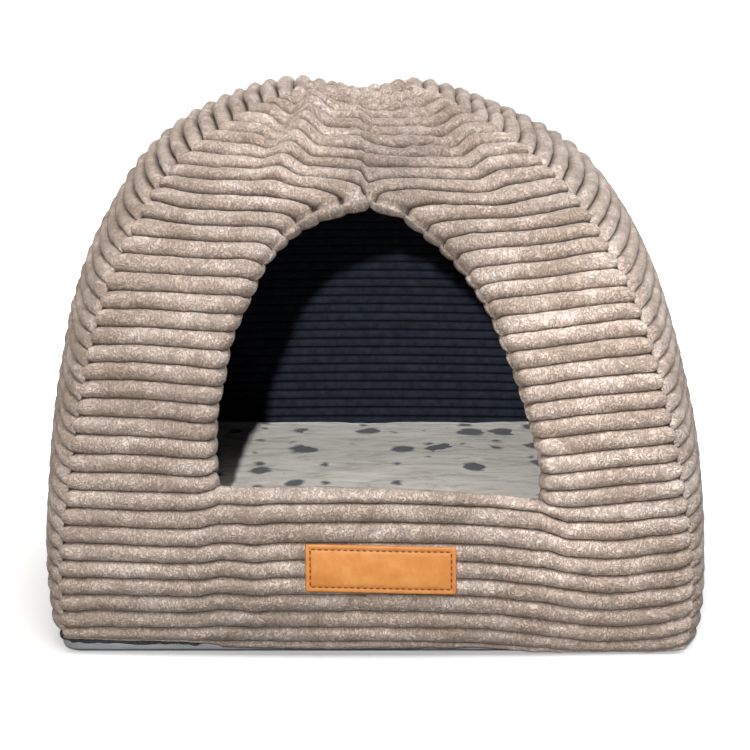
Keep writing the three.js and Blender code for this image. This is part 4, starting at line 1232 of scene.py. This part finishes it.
# %% Finish of the cushion cover
def spotted_fleece():
    """Light grey fleece: slate spots of 6 to 20 mm whose rims wander by 3 mm, over streaks across the bed
    and a 1 mm nap."""
    material, tree, output = new_material("spotted_polyester_fleece")
    place = add(tree, "TexCoord").outputs["Object"]
    wander = add(tree, "TexNoise", [("Vector", place), ("Scale", 90.0), ("Detail", 2.0)])
    shift = add(tree, "VectorMath", [(0, wander.outputs["Color"]), (1, (0.5, 0.5, 0.5))],
                operation="SUBTRACT")
    shift = add(tree, "VectorMath", [(0, shift.outputs[0]), (1, (0.012, 0.012, 0.0))], operation="MULTIPLY")
    moved = add(tree, "VectorMath", [(0, place), (1, shift.outputs[0])], operation="ADD")
    flat = add(tree, "Mapping", [("Vector", moved.outputs[0]), ("Scale", (42.0, 28.0, 0.0))])
    cells = add(tree, "TexVoronoi", [("Vector", flat.outputs[0]), ("Scale", 1.0), ("Randomness", 0.9)],
                voronoi_dimensions="2D")
    pick = add(tree, "SeparateColor", [("Color", cells.outputs["Color"])])
    size = add(tree, "MapRange", [("Value", pick.outputs[0]), ("From Min", 0.3), ("From Max", 1.0),
                                  ("To Min", -0.1), ("To Max", 0.46)])
    inside_spot = add(tree, "Math", [(0, size.outputs[0]), (1, cells.outputs["Distance"])],
                      operation="SUBTRACT")
    spot = add(tree, "MapRange", [("Value", inside_spot.outputs[0]), ("From Min", -0.03), ("From Max", 0.1)])
    streaked = add(tree, "Mapping", [("Vector", place), ("Scale", (26.0, 60.0, 30.0))])
    streaks = add(tree, "TexNoise", [("Vector", streaked.outputs[0]), ("Scale", 1.0), ("Detail", 6.0),
                                     ("Distortion", 1.2), ("Roughness", 0.7)])
    ground = ramp(tree, streaks.outputs["Fac"], [(0.34, linear("#ACA89E")), (0.5, linear("#DAD4C6")),
                                                 (0.64, linear("#F2ECDE"))])
    colour = add(tree, "Mix", [(0, spot.outputs[0]), (6, ground), (7, linear("#50545A"))], data_type="RGBA")
    silver = ramp(tree, streaks.outputs["Fac"], [
        (0.34, (0.62, 0.58, 0.53, 1.0)), (0.5, (0.96, 0.92, 0.86, 1.0)), (0.64, (1.0, 0.97, 0.93, 1.0))])
    tint = add(tree, "Mix", [(0, spot.outputs[0]), (6, silver), (7, grey(0.24))], data_type="RGBA")
    nap = add(tree, "TexNoise", [("Vector", place), ("Scale", 500.0), ("Detail", 2.0)])
    bump = add(tree, "Bump", [("Height", nap.outputs["Fac"]), ("Strength", 0.5), ("Distance", 0.0008)])
    shader = add(tree, "BsdfPrincipled", [
        ("Base Color", colour.outputs[2]), ("Roughness", 0.95), ("Specular IOR Level", 0.15),
        ("Sheen Weight", 1.0), ("Sheen Roughness", 0.5), ("Sheen Tint", tint.outputs[2]),
        ("Normal", bump.outputs[0])])
    tree.links.new(shader.outputs[0], output.inputs["Surface"])
    return material


fleece = spotted_fleece()
print("made", fleece.name)

# %% Cushion, inflated as cloth
CUSHION = {"half": 161.0, "corner": 26.0, "front_left": 26.0}
CUSHION_ROWS = [(161, 13), (90, 13), (40, 13), (14, 13), (5, 16), (1, 24), (0, 36), (0, 52), (1, 62), (5, 70),
                (12, 74), (24, 75.5), (60, 77.5), (100, 79), (161, 79.5)]
MOST_SWELL = 0.0032  # metres, so that the top stands as high as in the photograph


def cushion_box():
    """Rounded box 322 mm wide and 66 mm high, a little smaller than the cushion."""
    points = stacked_rings(CUSHION, CUSHION_ROWS, 8, 24)
    return make_piece("plump_cushion", [(points, points * MM, False)], (), 0, False, fleece)


def apply_modifier(piece, kind, **settings):
    """Adds one modifier, sets it and makes its result the piece's own mesh."""
    modifier = piece.modifiers.new(kind.lower(), kind)
    for name, value in settings.items():
        setattr(modifier, name, value)
    shown = piece.evaluated_get(bpy.context.evaluated_depsgraph_get())
    mesh = bpy.data.meshes.new_from_object(shown)
    piece.modifiers.clear()
    piece.data = mesh
    return piece


def inflate(piece, pressure=4.0, frames=20, most=MOST_SWELL):
    """Cloth under pressure without weight; each point then moves along its way by at most `most` metres."""
    apply_modifier(piece, "REMESH", mode="VOXEL", voxel_size=0.005, use_smooth_shade=True)
    before = np.zeros((len(piece.data.vertices), 3))
    piece.data.vertices.foreach_get("co", before.ravel())
    cloth = piece.modifiers.new("cloth", "CLOTH")
    cloth.settings.use_pressure = True
    cloth.settings.uniform_pressure_force = pressure
    cloth.settings.effector_weights.gravity = 0.0
    cloth.settings.quality = 5
    for number in range(1, frames + 1):
        scene.frame_set(number)
    shown = piece.evaluated_get(bpy.context.evaluated_depsgraph_get())
    after = np.zeros_like(before)
    shown.data.vertices.foreach_get("co", after.ravel())
    piece.modifiers.clear()
    scene.frame_set(1)
    move = after - before
    length = np.linalg.norm(move, axis=1, keepdims=True)
    move = move * np.minimum(1, most / np.maximum(length, 1e-9))
    piece.data.vertices.foreach_set("co", (before + move).ravel())
    return float(np.median(length))


cushion = cushion_box()
typical = inflate(cushion)
print(f"cushion: pressed out by {typical * 1000:.1f} mm, of which {MOST_SWELL * 1000:.1f} mm is kept")
apply_modifier(cushion, "SUBSURF", levels=1, render_levels=1)
cushion.data.shade_smooth()
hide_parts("cushion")
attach(cushion, "root")

# %% [markdown]
# Leather patch
# A small rectangle of tan leather is sewn on the sill with brown thread, set 3 mm in from its edge. Leather
# of this kind has a fine pebble grain, a darker cut edge and a shallow dent along the stitches, where the
# thread pulls it down. The patch is bare.

# %% Finish of the patch and its thread
def tan_leather():
    """Tan leather: pebbles of 0.5 mm, cloudy tone of 12 mm, and a darker line along the stitches and the
    edge."""
    material, tree, output = new_material("tan_leather")
    lie = add(tree, "Attribute", attribute_name="lie")
    split = add(tree, "SeparateXYZ", [("Vector", lie.outputs["Vector"])])
    place = add(tree, "TexCoord").outputs["Object"]
    clouds = add(tree, "TexNoise", [("Vector", place), ("Scale", 85.0), ("Detail", 4.0), ("Roughness", 0.6)])
    tone = ramp(tree, clouds.outputs["Fac"], [(0.3, linear("#CD7F37")), (0.5, linear("#DA8F46")),
                                              (0.7, linear("#E29D57"))])
    colour = add(tree, "Mix", [(0, split.outputs["Z"]), (6, tone), (7, linear("#B8692A"))], data_type="RGBA")
    pebbles = add(tree, "TexVoronoi", [("Vector", place), ("Scale", 1900.0)])
    bump = add(tree, "Bump", [("Height", pebbles.outputs["Distance"]), ("Strength", 0.25),
                              ("Distance", 0.0002)])
    shader = add(tree, "BsdfPrincipled", [("Base Color", colour.outputs[2]), ("Roughness", 0.5),
                                          ("Specular IOR Level", 0.4), ("Normal", bump.outputs[0])])
    tree.links.new(shader.outputs[0], output.inputs["Surface"])
    return material


def brown_thread():
    """Bonded polyester thread, dark brown, with a 0.4 mm twist."""
    material, tree, output = new_material("brown_polyester_thread")
    place = add(tree, "TexCoord").outputs["Object"]
    twist = add(tree, "TexWave", [("Vector", place), ("Scale", 800.0)], bands_direction="DIAGONAL")
    tone = ramp(tree, twist.outputs["Fac"], [(0.2, linear("#4A2410")), (0.8, linear("#7A4420"))])
    shader = add(tree, "BsdfPrincipled", [("Base Color", tone), ("Roughness", 0.6)])
    tree.links.new(shader.outputs[0], output.inputs["Surface"])
    return material


leather = tan_leather()
thread = brown_thread()
print("made", leather.name, "and", thread.name)

# %% Patch and stitches
PATCH = {"width": 92.0, "height": 28.0, "thickness": 1.8, "x": 3.0, "along": 59.0, "tilt": -0.02}
STITCH_INSET = 3.0
STITCH_PITCH = 3.9
PATCH_CORNER = 1.6


def on_patch(h, v, rise):
    """Place above the rib tops for h and v in millimetres from the middle of the patch."""
    x = PATCH["x"] + h
    s = PATCH["along"] + v + h * PATCH["tilt"]
    point = cord_side(x, s, np.ones_like(x), 99.0, "front")
    _, _, out, up = seam_at(outer, s)
    return point + np.stack([0 * x, -out * rise, up * rise], -1)


def patch_rise(h, v):
    """Height of the leather's face: full thickness, rounded over 0.9 mm at the edge and dented by 0.4 mm
    along the stitches. Also says how dark the leather is there."""
    edge = np.minimum(PATCH["width"] / 2 - np.abs(h), PATCH["height"] / 2 - np.abs(v))
    dent = hump(edge - STITCH_INSET, 0.9)
    rise = 0.3 + PATCH["thickness"] * (0.55 + 0.45 * arc(1 - edge / 0.9)) - 0.4 * dent
    return rise, 0.45 * dent + 0.8 * hump(edge, 0.5)


def round_corner(h, v):
    """Pulls points in the corner squares onto quarter circles: (dx, dy) times its larger part over its
    length."""
    way_x, way_y = PATCH["width"] / 2 - PATCH_CORNER, PATCH["height"] / 2 - PATCH_CORNER
    dx, dy = np.maximum(np.abs(h) - way_x, 0), np.maximum(np.abs(v) - way_y, 0)
    length = np.maximum(np.hypot(dx, dy), 1e-9)
    scale = np.where((dx > 0) & (dy > 0), np.maximum(dx, dy) / length, 1)
    return (np.sign(h) * (np.minimum(np.abs(h), way_x) + dx * scale),
            np.sign(v) * (np.minimum(np.abs(v), way_y) + dy * scale))


def leather_patch():
    """Face and back grids over the same outline, joined round the edge."""
    edge = np.array([0, 0.15, 0.4, 0.8, 1.3, 1.8, 2.2, 2.6, 3.0, 3.4, 3.8, 4.4])
    width, height = PATCH["width"], PATCH["height"]
    h, v = np.meshgrid(*[
        np.concatenate([
            edge - size / 2, np.linspace(6 - size / 2, size / 2 - 6, count), size / 2 - edge[::-1]])
        for size, count in ((width, 50), (height, 14))])
    rise, dark = patch_rise(h, v)
    h, v = round_corner(h, v)
    face, back = on_patch(h, v, rise), on_patch(h, v, 0.3)
    lie = np.stack([h * MM, v * MM, dark], -1)
    ring = tube((face, lie), (back, lie))
    ends = [close_between(face[-1], back[-1]), close_between(back[0], face[0])]
    return make_piece("patch_leather", [(*ring, False)] + ends, (), 0, False, leather)


def patch_stitches():
    """Small capsules of thread end to end round the patch, each 2.5 mm long, half sunk in the dent."""
    across, up = PATCH["width"] / 2 - STITCH_INSET, PATCH["height"] / 2 - STITCH_INSET
    corners = np.array([[-across, -up], [across, -up], [across, up], [-across, up], [-across, -up]])
    places, ways = [], []
    for start, end in zip(corners[:-1], corners[1:]):
        length = np.linalg.norm(end - start)
        count = round(length / STITCH_PITCH)
        w = (np.arange(count) + 0.5)[:, None] / count
        places.append(start + (end - start) * w)
        ways.append(np.broadcast_to((end - start) / length, (count, 2)))
    places, ways = np.concatenate(places)[:, None, None], np.concatenate(ways)[:, None, None]
    v, u = np.meshgrid(np.linspace(-np.pi / 2, np.pi / 2, 7), np.linspace(0, 2 * np.pi, 9), indexing="ij")
    length = (1.25 * np.sin(v))[..., None]
    width = (0.42 * np.cos(v) ** 0.6 * np.cos(u))[..., None]
    high = 0.3 * np.cos(v) ** 0.6 * np.sin(u)
    aside = np.stack([-ways[..., 1], ways[..., 0]], -1)
    plan = places + ways * length + aside * width
    base = 0.3 + PATCH["thickness"] - 0.32
    stitches = on_patch(plan[..., 0], plan[..., 1], base + high[None])
    grids = [(one, np.zeros_like(one), True) for one in stitches]
    return make_piece("patch_stitches", grids, (), 0, False, thread)


for piece in (leather_patch(), patch_stitches()):
    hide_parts("patch")
    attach(piece, "root")

# %% [markdown]
# Floor and light
# The bed stands on white paper. One hard lamp close beside the camera throws the shape of the door onto the
# back lining, and soft white light comes from all round. The hard lamp is 5 cm wide, so that its shadow
# keeps a narrow soft edge, and wide panels above, beside and behind the bed give the rest. The paper glows
# with painted light, more further away, so it comes out white while soft shadows stay beside the bed.

# %% Floor
def paper():
    """Matt white backdrop paper with a faint tooth, glowing with painted light that rises from 0.2 to 1
    between 0.2 and 0.8 m from the bed.
    """
    material, tree, output = new_material("matt_white_paper")
    place = add(tree, "TexCoord").outputs["Object"]
    tooth = add(tree, "TexNoise", [("Vector", place), ("Scale", 900.0)])
    bump = add(tree, "Bump", [("Height", tooth.outputs["Fac"]), ("Strength", 0.05), ("Distance", 0.0002)])
    # Painted light: the paper glows more the further it lies from the bed.
    distance = add(tree, "VectorMath", [(0, place)], operation="LENGTH")
    glow = add(tree, "MapRange", [("Value", distance.outputs["Value"]), ("From Min", 0.2), ("From Max", 0.8),
                                  ("To Min", 0.2), ("To Max", 1.0)])
    shader = add(tree, "BsdfPrincipled", [
        ("Base Color", linear("#F6F6F5")), ("Roughness", 0.9), ("Specular IOR Level", 0.1),
        ("Emission Color", (1, 1, 1, 1)), ("Emission Strength", glow.outputs[0]),
        ("Normal", bump.outputs[0])])
    tree.links.new(shader.outputs[0], output.inputs["Surface"])
    return material


PAPER_HALF = 20000  # half the width of the paper, wide enough that no edge shows
PAPER_DROP = 0.3  # the paper lies this far under the slab, so that their faces don't share a plane
floor_x, floor_y = np.meshgrid(*[np.linspace(-PAPER_HALF, PAPER_HALF, 9)] * 2)
floor_points = np.stack([floor_x, floor_y, 0 * floor_x - PAPER_DROP], -1)
floor = make_piece("floor", [(floor_points, floor_points * MM, False)], (), 0, False, paper())
floor.visible_diffuse = False

# %% World, hard lamp and soft panels
world = bpy.data.worlds.new("studio")
scene.world = world
world.use_nodes = True
backdrop = world.node_tree.nodes["Background"]
backdrop.inputs["Color"].default_value = (1.0, 1.0, 1.0, 1.0)
backdrop.inputs["Strength"].default_value = 0.06


def soft_panel(name, place, aim, size, power, colour="#FFFFFF"):
    """Square area lamp that faces a point."""
    light = bpy.data.lights.new(name, "AREA")
    light.color = linear(colour)[:3]
    light.shape = "SQUARE"
    light.size = size
    light.energy = power
    lamp = bpy.data.objects.new(name, light)
    lamp.location = place
    lamp.rotation_euler = (Vector(aim) - Vector(place)).to_track_quat("-Z", "Y").to_euler()
    scene.collection.objects.link(lamp)
    return lamp


soft_panel("hard_lamp", (-0.158, -2.37, 0.79), (0.0, -0.17, 0.2), 0.05, 38.0)
soft_panel("soft_top", (0.0, -1.1, 2.0), (0.0, 0.0, 0.15), 1.2, 26.0)
soft_panel("soft_right", (1.9, -0.5, 1.2), (0.0, 0.0, 0.15), 1.2, 10.5, "#F3F9FF")
soft_panel("soft_top_right", (1.2, -0.6, 1.9), (0.0, 0.0, 0.15), 1.0, 15.0, "#F0F7FF")
soft_panel("soft_left", (-1.7, 0.9, 1.1), (0.0, 0.0, 0.15), 1.2, 12.0, "#FFF2E6")
soft_panel("soft_back", (0.3, 2.2, 1.4), (0.0, 0.0, 0.15), 1.4, 30.0)

scene.view_settings.view_transform = "Standard"
